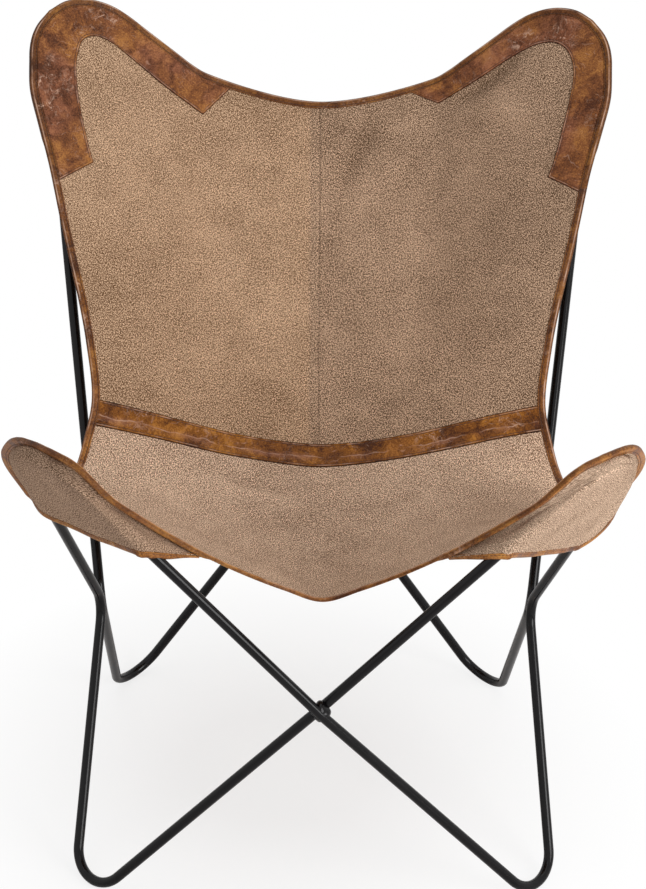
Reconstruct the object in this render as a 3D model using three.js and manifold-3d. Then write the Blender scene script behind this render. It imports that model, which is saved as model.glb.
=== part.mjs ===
// Butterfly sling chair: two closed loops of bent steel rod, welded where they
// cross, carry a canvas sling bound in leather. Four pockets behind the sling
// slip over the four hairpin ends of the rods.
// Millimetres. X runs across the chair, Y from the front to the back, Z up.
// The origin lies on the floor, under the middle of the chair.

import * as THREE from 'three';
import Module from 'manifold-3d';
import { mergeVertices } from 'three/addons/utils/BufferGeometryUtils.js';

const wasm = await Module();
wasm.setup();

// Rods
const rod_diameter = 12.7;
const touch_gap = 0.3;
const rod_sides = 12;
const bend_step_degrees = 13;
const bend_room_share = 0.45;

// Places of the rods' corners, before each corner is bent round
const front_foot_half_spacing = 302;
const front_foot_forward = 253;
const back_foot_half_spacing = 265;
const back_foot_back = 218;
const foot_bend_radius = 44;
const side_joint_half_spacing = 275;
const side_joint_forward = 6;
const side_joint_height = 266;
const side_bend_radius = 40;
const front_cross_forward = 281;
const front_cross_height = 297;
const back_cross_back = 240;
const back_cross_height = 340;
const cross_bend_radius = 60;
const wing_corner_half_spacing = 375;
const wing_corner_forward = 279;
const wing_corner_height = 715;
const wing_bend_radius = 60;
const ear_corner_half_spacing = 363;
const ear_corner_back = 452;
const ear_corner_height = 879;
const ear_loop_width = 85;
const ear_bend_radius = 38;

// Weld beads, as half sizes
const cross_weld_reach = 12;
const cross_weld_depth = 7;
const side_weld_reach = 5.5;
const side_weld_depth = 6;
const side_weld_height = 15;

// Cloth and leather
const canvas_thickness = 1.6;
const leather_thickness = 1.4;
const layer_gap = 0.5;
const binding_width = 7;
const binding_thickness = 3.2;
const seam_gap = 0.4;
const strap_width = 34;
const patch_width = 48;

// Free edges of the sling between its pockets
const top_dip_back = 484;
const top_dip_height = 751;
const waist_pull = 59;
const side_drop = 115;
const front_dip_forward = 235;
const front_dip_height = 423;
const front_edge_sag = 24;
const front_edge_bow = 13;
const crease_back = 104;
const crease_height = 419;
const seat_sag = 39;
const back_sag = 10;

// Pockets: reach of each along its two rods, and along the sling's outline
const pocket_room = 3;
const pocket_rim_inset = 2;
const pocket_rim_drop = 4;
const mouth_binding_width = 9;
const mouth_gap = 1.1;
const ear_mouth_bow = 8;
const wing_mouth_bow = 11;
const ear_pocket_outer_reach = 152;
const ear_pocket_inner_reach = 80;
const ear_mouth_on_side = 183;
const ear_mouth_on_top = 190;
const wing_pocket_outer_reach = 319;
const wing_pocket_inner_reach = 258;
const wing_mouth_on_side = 285;
const wing_mouth_on_front = 250;

// Outline of the sling at an ear, laid out from the ear's corner: along the
// outer rod, then inward, as shares of the width of the ear's loop
const ear_top_shares = [
  [0.87, 2.67], [0.73, 2.4], [0.54, 2.14], [0.35, 1.88], [0.165, 1.63],
  [-0.02, 1.38], [-0.165, 1.13], [-0.25, 0.86], [-0.27, 0.6], [-0.22, 0.32],
];
const ear_tip_shares = [-0.06, 0.035];
const ear_side_shares = [
  [0.165, -0.176], [0.35, -0.28], [0.55, -0.34], [0.74, -0.365], [1.12, -0.4],
  [1.31, -0.39], [1.68, -0.33], [2.1, -0.26], [2.42, -0.21],
];

// Outline at a wing, laid out the same way, as shares of the wing's bend radius
const wing_side_shares = [
  [5.5, -0.8], [4.77, -1], [3.92, -1.1], [3.27, -0.95], [2.67, -0.65], [2.12, -0.3],
  [1.75, 0.05],
];
const wing_tip_shares = [1.5, 0.47];
const wing_front_shares = [
  [1.37, 0.83], [1.28, 1.15], [1.22, 1.45], [1.3, 1.72], [1.62, 1.98], [1.98, 2.28],
];

// Side edge between its ear and its wing: place along the chord, then shares
// of the pull at the waist and of the drop
const side_edge_shares = [
  [0.15, 0.29, 0.12], [0.23, 0.48, 0.25], [0.31, 0.68, 0.39], [0.4, 0.86, 0.55],
  [0.52, 1, 0.76], [0.6, 0.85, 0.9], [0.66, 0.7, 0.98], [0.76, 0.48, 0.87],
  [0.88, 0.24, 0.53],
];
const front_edge_shares = [0.14, 0.26, 0.4, 0.6, 0.82];

// Place of the crease on the whole side edge, from the ear's tip
const crease_on_side_share = 0.527;

// Grid of the sling and of a pocket, as numbers of cells
const open_columns = 10;
const open_back_rows = 10;
const open_seat_rows = 8;
const patch_arm_columns = 8;
const patch_arm_rows = 6;
const edge_cell_shares = [0, 0.5, 1];
const pocket_rows = 5;
const sag_spread_share = 1.3;

const rod_radius = rod_diameter / 2;
const rod_offset = rod_radius + touch_gap / 2;
const sling_clear = rod_radius + binding_thickness / 2 + layer_gap;
const pocket_clear = rod_radius + canvas_thickness / 2 + layer_gap;
const panel_inset = binding_width + touch_gap;
const inner_inset = 1.6 * panel_inset;

const painted_steel = { color: 0x17171a, roughness: 0.35, metalness: 0.6 };
const canvas_warm = { color: 0xb4926c, roughness: 0.92, metalness: 0 };
const canvas_grey = { color: 0xa3886a, roughness: 0.92, metalness: 0 };
const canvas_pale = { color: 0xb29d86, roughness: 0.92, metalness: 0 };
const leather_brown = { color: 0x7a4320, roughness: 0.5, metalness: 0 };

const sides = [{ name: 'left', sign: -1 }, { name: 'right', sign: 1 }];
const chair = new THREE.Group();

function at(x, y, z) {
  return new THREE.Vector3(x, y, z);
}

function add(name, geometry, finish) {
  const mesh = new THREE.Mesh(geometry, new THREE.MeshStandardMaterial(finish));
  mesh.name = name;
  chair.add(mesh);
}

function closedGeometry(vertices, faces) {
  const geometry = new THREE.BufferGeometry();
  const numbers = vertices.flatMap((vertex) => vertex.toArray());
  geometry.setAttribute('position', new THREE.Float32BufferAttribute(numbers, 3));
  geometry.setIndex(faces.flat());
  geometry.computeVertexNormals();
  return geometry;
}

// Rods

// The arc that takes a rod round one corner of its loop, as a row of stops
function bendAt(loop, index) {
  const corner = loop[index];
  const before = loop[(index + loop.length - 1) % loop.length].place;
  const after = loop[(index + 1) % loop.length].place;
  const behind = before.clone().sub(corner.place);
  const onward = after.clone().sub(corner.place);
  const room = bend_room_share * Math.min(behind.length(), onward.length());
  behind.normalize();
  onward.normalize();
  const turn = Math.PI - behind.angleTo(onward);
  const reach = Math.min(corner.radius * Math.tan(turn / 2), room);
  const radius = reach / Math.tan(turn / 2);
  const travel = behind.clone().negate();
  const axis = travel.clone().cross(onward).normalize();
  const start = corner.place.clone().addScaledVector(behind, reach);
  const centre = axis.clone().cross(travel).multiplyScalar(radius).add(start);
  const spoke = start.clone().sub(centre);
  const steps = 2 * Math.ceil(turn / (2 * THREE.MathUtils.degToRad(bend_step_degrees)));
  return Array.from({ length: steps + 1 }, (_, step) => {
    const angle = (turn * step) / steps;
    return {
      place: spoke.clone().applyAxisAngle(axis, angle).add(centre),
      travel: travel.clone().applyAxisAngle(axis, angle),
    };
  });
}

function middleOf(bend) {
  return bend[(bend.length - 1) / 2].place;
}

// Moves the corners until the rods touch where they are welded and every foot
// stands on the floor
function settle(loop) {
  for (let pass = 0; pass < 20; pass += 1) {
    loop.forEach((corner, index) => {
      const bend = bendAt(loop, index);
      if (corner.weld) {
        corner.place.add(corner.weld).sub(middleOf(bend));
      }
      if (corner.stands) {
        const lowest = Math.min(...bend.map((stop) => stop.place.z));
        corner.place.z += rod_radius - lowest;
      }
    });
  }
}

function weldCorner(place, radius) {
  return { place: place.clone(), weld: place, radius };
}

function footCorner(x, y) {
  return { place: at(x, y, 0), stands: true, radius: foot_bend_radius };
}

function cornerOf(loop, key) {
  return loop.find((corner) => corner.key === key);
}

const front_loop = sides.flatMap(({ sign }) => [
  { key: `foot${sign}`, ...footCorner(sign * front_foot_half_spacing, -front_foot_forward) },
  {
    key: `cross${-sign}`,
    ...weldCorner(
      at(0, -front_cross_forward - sign * rod_offset, front_cross_height),
      cross_bend_radius,
    ),
  },
  {
    key: `wing${-sign}`,
    place: at(-sign * wing_corner_half_spacing, -wing_corner_forward, wing_corner_height),
    radius: wing_bend_radius,
  },
  {
    key: `side${-sign}`,
    ...weldCorner(
      at(-sign * side_joint_half_spacing, -side_joint_forward - rod_offset, side_joint_height),
      side_bend_radius,
    ),
  },
]);
settle(front_loop);

// The flat plane that holds the two rods of a hairpin: along its outer rod,
// inward to its inner rod, and up toward the seat
function planeAt(corner, outer_end, inner_end) {
  const along = outer_end.clone().sub(corner).normalize();
  const inward = inner_end.clone().sub(corner);
  inward.addScaledVector(along, -inward.dot(along)).normalize();
  const front = along.clone().cross(inward);
  if (front.dot(at(0, crease_back, crease_height).sub(corner)) < 0) {
    front.negate();
  }
  return { corner, along, inward, front };
}

function onPlane(plane, along, inward, lift) {
  return plane.corner
    .clone()
    .addScaledVector(plane.along, along)
    .addScaledVector(plane.inward, inward)
    .addScaledVector(plane.front, lift);
}

function earCorner(sign) {
  return at(sign * ear_corner_half_spacing, ear_corner_back, ear_corner_height);
}

function sideWeld(sign) {
  return at(
    sign * side_joint_half_spacing,
    -side_joint_forward + rod_offset,
    side_joint_height,
  );
}

function backWeld(sign) {
  return at(0, back_cross_back + sign * rod_offset, back_cross_height);
}

const back_loop = sides.flatMap(({ sign }) => {
  const ear_plane = planeAt(earCorner(-sign), sideWeld(-sign), backWeld(-sign));
  return [
    { key: `foot${sign}`, ...footCorner(sign * back_foot_half_spacing, back_foot_back) },
    { key: `cross${-sign}`, ...weldCorner(backWeld(-sign), cross_bend_radius) },
    {
      key: `turn${-sign}`,
      place: onPlane(ear_plane, 0, ear_loop_width, 0),
      radius: ear_bend_radius,
    },
    { key: `ear${-sign}`, place: earCorner(-sign), radius: ear_bend_radius },
    { key: `side${-sign}`, ...weldCorner(sideWeld(-sign), side_bend_radius) },
  ];
});
settle(back_loop);

// One side direction for each stop, carried along the rod without twisting
function carriedSides(path) {
  const side = at(0, 0, 1).cross(path[0].travel).normalize();
  const swing = new THREE.Quaternion();
  return path.map((stop, index) => {
    const last = path[Math.max(index - 1, 0)];
    side.applyQuaternion(swing.setFromUnitVectors(last.travel, stop.travel));
    return side.clone();
  });
}

function ringAt(stop, side, radius, lead) {
  const over = stop.travel.clone().cross(side);
  return Array.from({ length: rod_sides }, (_, index) => {
    const angle = lead + (2 * Math.PI * index) / rod_sides;
    return stop.place
      .clone()
      .addScaledVector(side, radius * Math.cos(angle))
      .addScaledVector(over, radius * Math.sin(angle));
  });
}

function sleeve(first, second, shift) {
  return Array.from({ length: rod_sides }, (_, index) => {
    const next = (index + 1) % rod_sides;
    const a = first * rod_sides + index;
    const b = first * rod_sides + next;
    const c = second * rod_sides + ((next + shift) % rod_sides);
    const d = second * rod_sides + ((index + shift) % rod_sides);
    return [[a, b, c], [a, c, d]];
  }).flat();
}

// A rod bent into a closed loop
function loopRod(path) {
  const carried = carriedSides(path);
  const first = path[0];
  const last = path[path.length - 1];
  const home = carried[carried.length - 1].clone();
  home.applyQuaternion(new THREE.Quaternion().setFromUnitVectors(last.travel, first.travel));
  const over = home.clone().cross(carried[0]).dot(first.travel);
  const closing = Math.atan2(over, home.dot(carried[0]));
  const side_angle = (2 * Math.PI) / rod_sides;
  const shift = Math.round(closing / side_angle);
  const rest = closing - shift * side_angle;
  const vertices = path.flatMap((stop, index) => (
    ringAt(stop, carried[index], rod_radius, (rest * index) / path.length)
  ));
  const faces = path.flatMap((_, index) => {
    const closes = index === path.length - 1;
    return sleeve(index, closes ? 0 : index + 1, closes ? rod_sides - shift : 0);
  });
  return closedGeometry(vertices, faces);
}

// A stretch of rod with flat ends
function shortRod(path, radius) {
  const carried = carriedSides(path);
  const vertices = path.flatMap((stop, index) => ringAt(stop, carried[index], radius, 0));
  const faces = path.slice(1).flatMap((_, index) => sleeve(index, index + 1, 0));
  const end = (path.length - 1) * rod_sides;
  for (let index = 1; index < rod_sides - 1; index += 1) {
    faces.push([0, index + 1, index], [end, end + index, end + index + 1]);
  }
  return closedGeometry(vertices, faces);
}

function bendOf(loop, key) {
  return bendAt(loop, loop.findIndex((corner) => corner.key === key));
}

function pathOf(loop) {
  return loop.flatMap((_, index) => bendAt(loop, index));
}

add('front_frame_loop', loopRod(pathOf(front_loop)), painted_steel);
add('back_frame_loop', loopRod(pathOf(back_loop)), painted_steel);

// Weld beads, shaped to the rods that they join

function toSolid(geometry) {
  const bare = geometry.clone();
  bare.deleteAttribute('normal');
  bare.deleteAttribute('uv');
  const merged = mergeVertices(bare);
  return new wasm.Manifold(new wasm.Mesh({
    numProp: 3,
    vertProperties: merged.attributes.position.array,
    triVerts: new Uint32Array(merged.index.array),
  }));
}

function fromSolid(solid) {
  const { vertProperties, triVerts } = solid.getMesh();
  const geometry = new THREE.BufferGeometry();
  geometry.setAttribute('position', new THREE.Float32BufferAttribute(vertProperties, 3));
  geometry.setIndex(Array.from(triVerts));
  geometry.computeVertexNormals();
  return geometry;
}

// The rod through a weld, run on straight past the bead and a gap larger
function weldCutter(loop, key, reach) {
  const bend = bendOf(loop, key);
  const first = bend[0];
  const last = bend[bend.length - 1];
  const path = [
    { ...first, place: first.place.clone().addScaledVector(first.travel, -reach) },
    ...bend,
    { ...last, place: last.place.clone().addScaledVector(last.travel, reach) },
  ];
  const flat = Math.cos(Math.PI / rod_sides);
  return toSolid(shortRod(path, rod_radius / flat + touch_gap));
}

function bead(centre, half_sizes, cutters) {
  const ball = new THREE.SphereGeometry(1, 14, 10);
  ball.scale(...half_sizes);
  ball.translate(...centre.toArray());
  return fromSolid(cutters.reduce((solid, cutter) => solid.subtract(cutter), toSolid(ball)));
}

for (const [name, loop, forward, height] of [
  ['front', front_loop, -front_cross_forward, front_cross_height],
  ['back', back_loop, back_cross_back, back_cross_height],
]) {
  const cutters = sides.map(({ sign }) => weldCutter(loop, `cross${sign}`, cross_weld_reach));
  const half_sizes = [cross_weld_reach, cross_weld_depth, cross_weld_reach];
  add(`${name}_cross_weld`, bead(at(0, forward, height), half_sizes, cutters), painted_steel);
}

for (const { name, sign } of sides) {
  const centre = at(sign * side_joint_half_spacing, -side_joint_forward, side_joint_height);
  const cutters = [front_loop, back_loop].map((loop) => (
    weldCutter(loop, `side${sign}`, side_weld_height)
  ));
  const half_sizes = [side_weld_reach, side_weld_depth, side_weld_height];
  add(`${name}_side_weld`, bead(centre, half_sizes, cutters), painted_steel);
}

// Outline of the sling, on the middle of the cloth

const ear_planes = sides.map(({ sign }) => planeAt(
  cornerOf(back_loop, `ear${sign}`).place,
  cornerOf(back_loop, `side${sign}`).place,
  cornerOf(back_loop, `cross${sign}`).place,
));
const wing_planes = sides.map(({ sign }) => planeAt(
  cornerOf(front_loop, `wing${sign}`).place,
  cornerOf(front_loop, `side${sign}`).place,
  cornerOf(front_loop, `cross${sign}`).place,
));

function laidOut(plane, shares, size) {
  return shares.map(([along, inward]) => (
    onPlane(plane, along * size, inward * size, sling_clear)
  ));
}

function smooth(points) {
  const curve = new THREE.CatmullRomCurve3(points, false, 'centripetal');
  curve.arcLengthDivisions = 400;
  return curve;
}

const top_centre = at(0, top_dip_back, top_dip_height);
const front_centre = at(0, -front_dip_forward, front_dip_height);
const crease_centre = at(0, crease_back, crease_height);

function earTop(index) {
  return laidOut(ear_planes[index], [...ear_top_shares, ear_tip_shares], ear_loop_width);
}

function sideEdge(index) {
  const ear = [ear_tip_shares, ...ear_side_shares];
  const wing = [...wing_side_shares, wing_tip_shares];
  const upper = laidOut(ear_planes[index], ear, ear_loop_width);
  const lower = laidOut(wing_planes[index], wing, wing_bend_radius);
  const chord_start = upper[upper.length - 1];
  const pull = waist_pull * sides[index].sign;
  const free = side_edge_shares.map(([place, pull_share, drop_share]) => (
    chord_start
      .clone()
      .lerp(lower[0], place)
      .sub(at(pull * pull_share, 0, side_drop * drop_share))
  ));
  return smooth([...upper, ...free, ...lower]);
}

function frontHalf(index) {
  const wing = [wing_tip_shares, ...wing_front_shares];
  const corner = laidOut(wing_planes[index], wing, wing_bend_radius);
  const chord_start = corner[corner.length - 1];
  const free = front_edge_shares.map((place) => {
    const hump = 4 * place * (1 - place);
    return chord_start
      .clone()
      .lerp(front_centre, place)
      .add(at(0, front_edge_bow * hump, -front_edge_sag * hump));
  });
  return [...corner, ...free];
}

const top_curve = smooth([...earTop(0).reverse(), top_centre, ...earTop(1)]);
const side_curves = [sideEdge(0), sideEdge(1)];
const front_curve = smooth([...frontHalf(0), front_centre, ...frontHalf(1).reverse()]);
const crease_curve = smooth([
  side_curves[0].getPointAt(crease_on_side_share),
  crease_centre,
  side_curves[1].getPointAt(crease_on_side_share),
]);

// The sling's surface, as a back and a seat that meet at the crease

function stretched(top, bottom, left, right, u, v) {
  return top(u)
    .multiplyScalar(1 - v)
    .addScaledVector(bottom(u), v)
    .addScaledVector(left(v), 1 - u)
    .addScaledVector(right(v), u)
    .addScaledVector(top(0), -(1 - u) * (1 - v))
    .addScaledVector(top(1), -u * (1 - v))
    .addScaledVector(bottom(0), -(1 - u) * v)
    .addScaledVector(bottom(1), -u * v);
}

function spread(u) {
  return (1 - (2 * u - 1) ** 2) ** sag_spread_share;
}

// Keeps the cloth in front of the rods of a hairpin
function clearOf(place, planes) {
  for (const plane of planes) {
    const height = place.clone().sub(plane.corner).dot(plane.front);
    place.addScaledVector(plane.front, Math.max(sling_clear - height, 0));
  }
  return place;
}

function backPoint(u, v) {
  const sheet = (across, down) => stretched(
    (share) => top_curve.getPointAt(share),
    (share) => crease_curve.getPointAt(share),
    (share) => side_curves[0].getPointAt(share * crease_on_side_share),
    (share) => side_curves[1].getPointAt(share * crease_on_side_share),
    across,
    down,
  );
  const chord = crease_centre.clone().sub(top_centre);
  const sag_way = at(0, -chord.z, chord.y).normalize();
  const wanted = top_centre.clone().addScaledVector(chord, v);
  wanted.addScaledVector(sag_way, back_sag * 4 * v * (1 - v));
  const place = sheet(u, v).addScaledVector(wanted.sub(sheet(0.5, v)), spread(u));
  return clearOf(place, ear_planes);
}

function seatPoint(u, v) {
  const rest_share = 1 - crease_on_side_share;
  const sheet = (across, down) => stretched(
    (share) => crease_curve.getPointAt(share),
    (share) => front_curve.getPointAt(share),
    (share) => side_curves[0].getPointAt(crease_on_side_share + share * rest_share),
    (share) => side_curves[1].getPointAt(crease_on_side_share + share * rest_share),
    across,
    down,
  );
  const wanted = crease_centre.clone().lerp(front_centre, v);
  wanted.z -= seat_sag * 4 * v * (1 - v);
  const place = sheet(u, v).addScaledVector(wanted.sub(sheet(0.5, v)), spread(u));
  return clearOf(place, wing_planes);
}

function steps(from, to, count) {
  return Array.from({ length: count + 1 }, (_, index) => (
    THREE.MathUtils.lerp(from, to, index / count)
  ));
}

const back_length = side_curves[0].getLength() * crease_on_side_share;
const seat_length = side_curves[0].getLength() - back_length;
const seam_share = seam_gap / 2 / crease_curve.getLength();
const patch_across = patch_width / top_curve.getLength();
const patch_down = patch_width / back_length;
const strap_on_back = 1 - strap_width / 2 / back_length;
const strap_on_seat = strap_width / 2 / seat_length;

const left_columns = [
  ...edge_cell_shares.map((share) => share * patch_across),
  ...steps(patch_across, 0.5 - seam_share, open_columns).slice(1),
];
const columns = [...left_columns, ...left_columns.map((u) => 1 - u).reverse()];
const back_rows = [
  ...edge_cell_shares.map((share) => share * patch_down),
  ...steps(patch_down, strap_on_back, open_back_rows).slice(1),
  1 - seam_gap / 2 / back_length,
];
const seat_end = 1 - patch_width / seat_length;
const seat_rows = [
  seam_gap / 2 / seat_length,
  ...steps(strap_on_seat, seat_end, open_seat_rows),
  (1 + seat_end) / 2,
  1,
];
const sling_grid = [
  ...back_rows.map((v) => columns.map((u) => backPoint(u, v))),
  ...seat_rows.map((v) => columns.map((u) => seatPoint(u, v))),
];

// The direction that a grid of points faces at each of its points
function facing(grid) {
  const ways = grid.map((row) => row.map(() => at(0, 0, 0)));
  for (let row = 1; row < grid.length; row += 1) {
    for (let column = 1; column < grid[0].length; column += 1) {
      const falling = grid[row][column].clone().sub(grid[row - 1][column - 1]);
      const rising = grid[row - 1][column].clone().sub(grid[row][column - 1]);
      const way = falling.cross(rising).normalize();
      ways[row][column].add(way);
      ways[row - 1][column].add(way);
      ways[row][column - 1].add(way);
      ways[row - 1][column - 1].add(way);
    }
  }
  return ways.map((row) => row.map((way) => way.normalize()));
}

// A closed sheet over the kept cells of a grid, lifted off it by its middle
function sheetOver(grid, lift, thickness, keeps = () => true) {
  const ways = facing(grid);
  const width = grid[0].length;
  const vertices = [];
  const numbers = new Map();
  const corner = (row, column, face) => {
    const key = (row * width + column) * 2 + face;
    if (!numbers.has(key)) {
      const reach = lift + (face ? thickness / 2 : -thickness / 2);
      numbers.set(key, vertices.length);
      vertices.push(grid[row][column].clone().addScaledVector(ways[row][column], reach));
    }
    return numbers.get(key);
  };
  const kept = (row, column) => (
    row >= 0 && column >= 0 && row < grid.length - 1 && column < width - 1
    && keeps(row, column)
  );
  const faces = [];
  const quad = (a, b, c, d) => faces.push([a, b, c], [a, c, d]);
  for (let row = 0; row < grid.length - 1; row += 1) {
    for (let column = 0; column < width - 1; column += 1) {
      if (kept(row, column)) {
        const ring = [[row, column], [row + 1, column], [row + 1, column + 1], [row, column + 1]];
        const over = ring.map(([r, c]) => corner(r, c, 1));
        const under = ring.map(([r, c]) => corner(r, c, 0));
        const beside = [
          kept(row, column - 1), kept(row + 1, column),
          kept(row, column + 1), kept(row - 1, column),
        ];
        quad(...over);
        faces.push([under[0], under[2], under[1]], [under[0], under[3], under[2]]);
        beside.forEach((covered, edge) => {
          const next = (edge + 1) % 4;
          if (!covered) {
            quad(under[edge], under[next], over[next], over[edge]);
          }
        });
      }
    }
  }
  return closedGeometry(vertices, faces);
}

// The sling's border: its outline, and the way inward at each point

const last_row = sling_grid.length - 1;
const last_column = columns.length - 1;
const top_cells = columns.map((_, column) => [0, column]);
const right_cells = sling_grid.map((_, row) => [row, last_column]);
const front_cells = columns.map((_, column) => [last_row, last_column - column]);
const left_cells = sling_grid.map((_, row) => [last_row - row, 0]);
const border_cells = [top_cells, right_cells, front_cells, left_cells]
  .flatMap((cells) => cells.slice(0, -1));
const sling_ways = facing(sling_grid);

const inward_ways = new Map(border_cells.map(([row, column], index) => {
  const count = border_cells.length;
  const [row_before, column_before] = border_cells[(index + count - 1) % count];
  const [row_after, column_after] = border_cells[(index + 1) % count];
  const place = sling_grid[row][column];
  const arriving = place.clone().sub(sling_grid[row_before][column_before]).normalize();
  const leaving = sling_grid[row_after][column_after].clone().sub(place).normalize();
  const half_turn = arriving.angleTo(leaving) / 2;
  const way = arriving.add(leaving).cross(sling_ways[row][column]).normalize();
  return [`${row} ${column}`, way.divideScalar(Math.cos(half_turn))];
}));

function insetPoint([row, column], distance) {
  const way = inward_ways.get(`${row} ${column}`);
  return sling_grid[row][column].clone().addScaledVector(way, distance);
}

// Moves a place that lies close to the border until the binding clears it
function clearOfBinding(place) {
  const gaps = border_cells.map(([row, column]) => place.distanceTo(sling_grid[row][column]));
  const cell = border_cells[gaps.indexOf(Math.min(...gaps))];
  const way = inward_ways.get(cell.join(' '));
  const depth = place.clone().sub(insetPoint(cell, 0)).dot(way);
  return place.clone().addScaledVector(way, Math.max(inner_inset - depth, 0));
}

const panel_grid = sling_grid.map((row_points, row) => row_points.map((place, column) => (
  inward_ways.has(`${row} ${column}`)
    ? insetPoint([row, column], panel_inset)
    : clearOfBinding(place)
)));

const centre_cell = left_columns.length - 1;
const crease_cell = back_rows.length - 1;

add(
  'back_panel_left',
  sheetOver(panel_grid, 0, canvas_thickness, (row, column) => (
    row < crease_cell && column < centre_cell
  )),
  canvas_warm,
);
add(
  'back_panel_right',
  sheetOver(panel_grid, 0, canvas_thickness, (row, column) => (
    row < crease_cell && column > centre_cell
  )),
  canvas_grey,
);
add(
  'seat_panel',
  sheetOver(panel_grid, 0, canvas_thickness, (row) => row > crease_cell),
  canvas_warm,
);

const cover_lift = (canvas_thickness + leather_thickness) / 2 + touch_gap;
add(
  'lumbar_strap',
  sheetOver(panel_grid, cover_lift, leather_thickness, (row) => (
    Math.abs(row - crease_cell) < 2
  )),
  leather_brown,
);

const patch_cell = edge_cell_shares.length - 1;
for (const { name, sign } of sides) {
  const fromSide = (column) => (sign < 0 ? column : last_column - 1 - column);
  const keeps = (row, column) => (
    (row < patch_cell && fromSide(column) < patch_arm_columns)
    || (row < patch_arm_rows && fromSide(column) < patch_cell)
  );
  add(`ear_patch_${name}`, sheetOver(panel_grid, cover_lift, leather_thickness, keeps), leather_brown);
}

// Draws the two ends of a strip back by half a gap
function trimmed(row) {
  const last = row.length - 1;
  const drawn = (end, next) => end.clone().addScaledVector(
    next.clone().sub(end).normalize(),
    touch_gap / 2,
  );
  return [drawn(row[0], row[1]), ...row.slice(1, last), drawn(row[last], row[last - 1])];
}

function binding(cells) {
  const outer = cells.map((cell) => insetPoint(cell, 0));
  const inner = cells.map((cell) => insetPoint(cell, binding_width));
  return sheetOver([trimmed(outer), trimmed(inner)], 0, binding_thickness);
}

add('top_binding', binding(top_cells), leather_brown);
add('side_binding_right', binding(right_cells), leather_brown);
add('front_binding', binding(front_cells), leather_brown);
add('side_binding_left', binding(left_cells), leather_brown);

// Pockets behind the hairpins

// Evenly spaced points along a bent line
function evenly(points, count) {
  const line = new THREE.CurvePath();
  for (let index = 1; index < points.length; index += 1) {
    line.add(new THREE.LineCurve3(points[index - 1], points[index]));
  }
  return steps(0, 1, count).map((share) => line.getPointAt(share));
}

// The line round a hairpin, just outside its rod and behind it, from where
// the pocket's mouth crosses the inner rod to where it crosses the outer one
function aroundRod(plane, stops, inner_run, outer_run) {
  const first = stops[0];
  const last = stops[stops.length - 1];
  const path = [
    { ...first, place: first.place.clone().addScaledVector(first.travel, -inner_run) },
    ...stops,
    { ...last, place: last.place.clone().addScaledVector(last.travel, outer_run) },
  ];
  const sense = -Math.sign(last.travel.clone().cross(plane.front).dot(plane.inward));
  return path.map(({ place, travel }) => place
    .clone()
    .addScaledVector(travel.clone().cross(plane.front), sense * (rod_radius + pocket_room))
    .addScaledVector(plane.front, -pocket_clear));
}

// Points from a place on an edge to the end of that edge
function fromPlaceToEnd(curve, at_start, length) {
  const share = length / curve.getLength();
  return steps(share, 0, 24).map((rest) => curve.getPointAt(at_start ? rest : 1 - rest));
}

// The pocket's sheet: its rim is sewn along the outline, its middle is spread
// flat behind the rods, and its mouth bows away from the corner
function pocketGrid(plane, outline, around, bow) {
  const columns_across = 2 * pocket_rows;
  const ring = evenly(around, 4 * (pocket_rows - 1));
  const shades = evenly(around, 4 * pocket_rows);
  const rim = evenly(outline, 4 * pocket_rows).map((place, index) => {
    const way = shades[index].clone().sub(place);
    way.addScaledVector(plane.front, -way.dot(plane.front)).normalize();
    return place
      .clone()
      .addScaledVector(way, pocket_rim_inset)
      .addScaledVector(plane.front, -pocket_rim_drop);
  });
  const corner = pocket_rows - 1;
  const across = columns_across - 2;
  const mouth = ring[ring.length - 1].clone().sub(ring[0]);
  const bow_way = mouth.clone().cross(plane.front).normalize();
  if (bow_way.dot(ring[0].clone().sub(plane.corner)) < 0) {
    bow_way.negate();
  }
  const flat = (column, row) => stretched(
    (u) => ring[corner + Math.round(u * across)].clone(),
    (u) => ring[0]
      .clone()
      .addScaledVector(mouth, u)
      .addScaledVector(bow_way, 4 * bow * u * (1 - u)),
    (v) => ring[corner - Math.round(v * corner)].clone(),
    (v) => ring[corner + across + Math.round(v * corner)].clone(),
    column / across,
    row / corner,
  );
  return steps(0, pocket_rows, pocket_rows).map((row) => (
    steps(0, columns_across, columns_across).map((column) => {
      if (row === 0) {
        return rim[pocket_rows + column];
      }
      if (column === 0) {
        return rim[pocket_rows - row];
      }
      if (column === columns_across) {
        return rim[3 * pocket_rows + row];
      }
      return flat(column - 1, row - 1);
    })
  ));
}

// The strip that edges a pocket's mouth, on from the mouth's last row
function mouthStrip(grid, plane) {
  const last = grid[grid.length - 1];
  const before = grid[grid.length - 2];
  const onward = (distance) => last.map((place, column) => (
    place.clone().addScaledVector(place.clone().sub(before[column]).normalize(), distance)
  ));
  const rows = [onward(mouth_gap), onward(mouth_gap + mouth_binding_width)];
  const middle = Math.round(last.length / 2);
  const faces_front = facing(rows)[0][middle].dot(plane.front) > 0;
  const lift = (binding_thickness - canvas_thickness) / 2;
  return sheetOver(rows, faces_front ? -lift : lift, binding_thickness);
}

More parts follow.
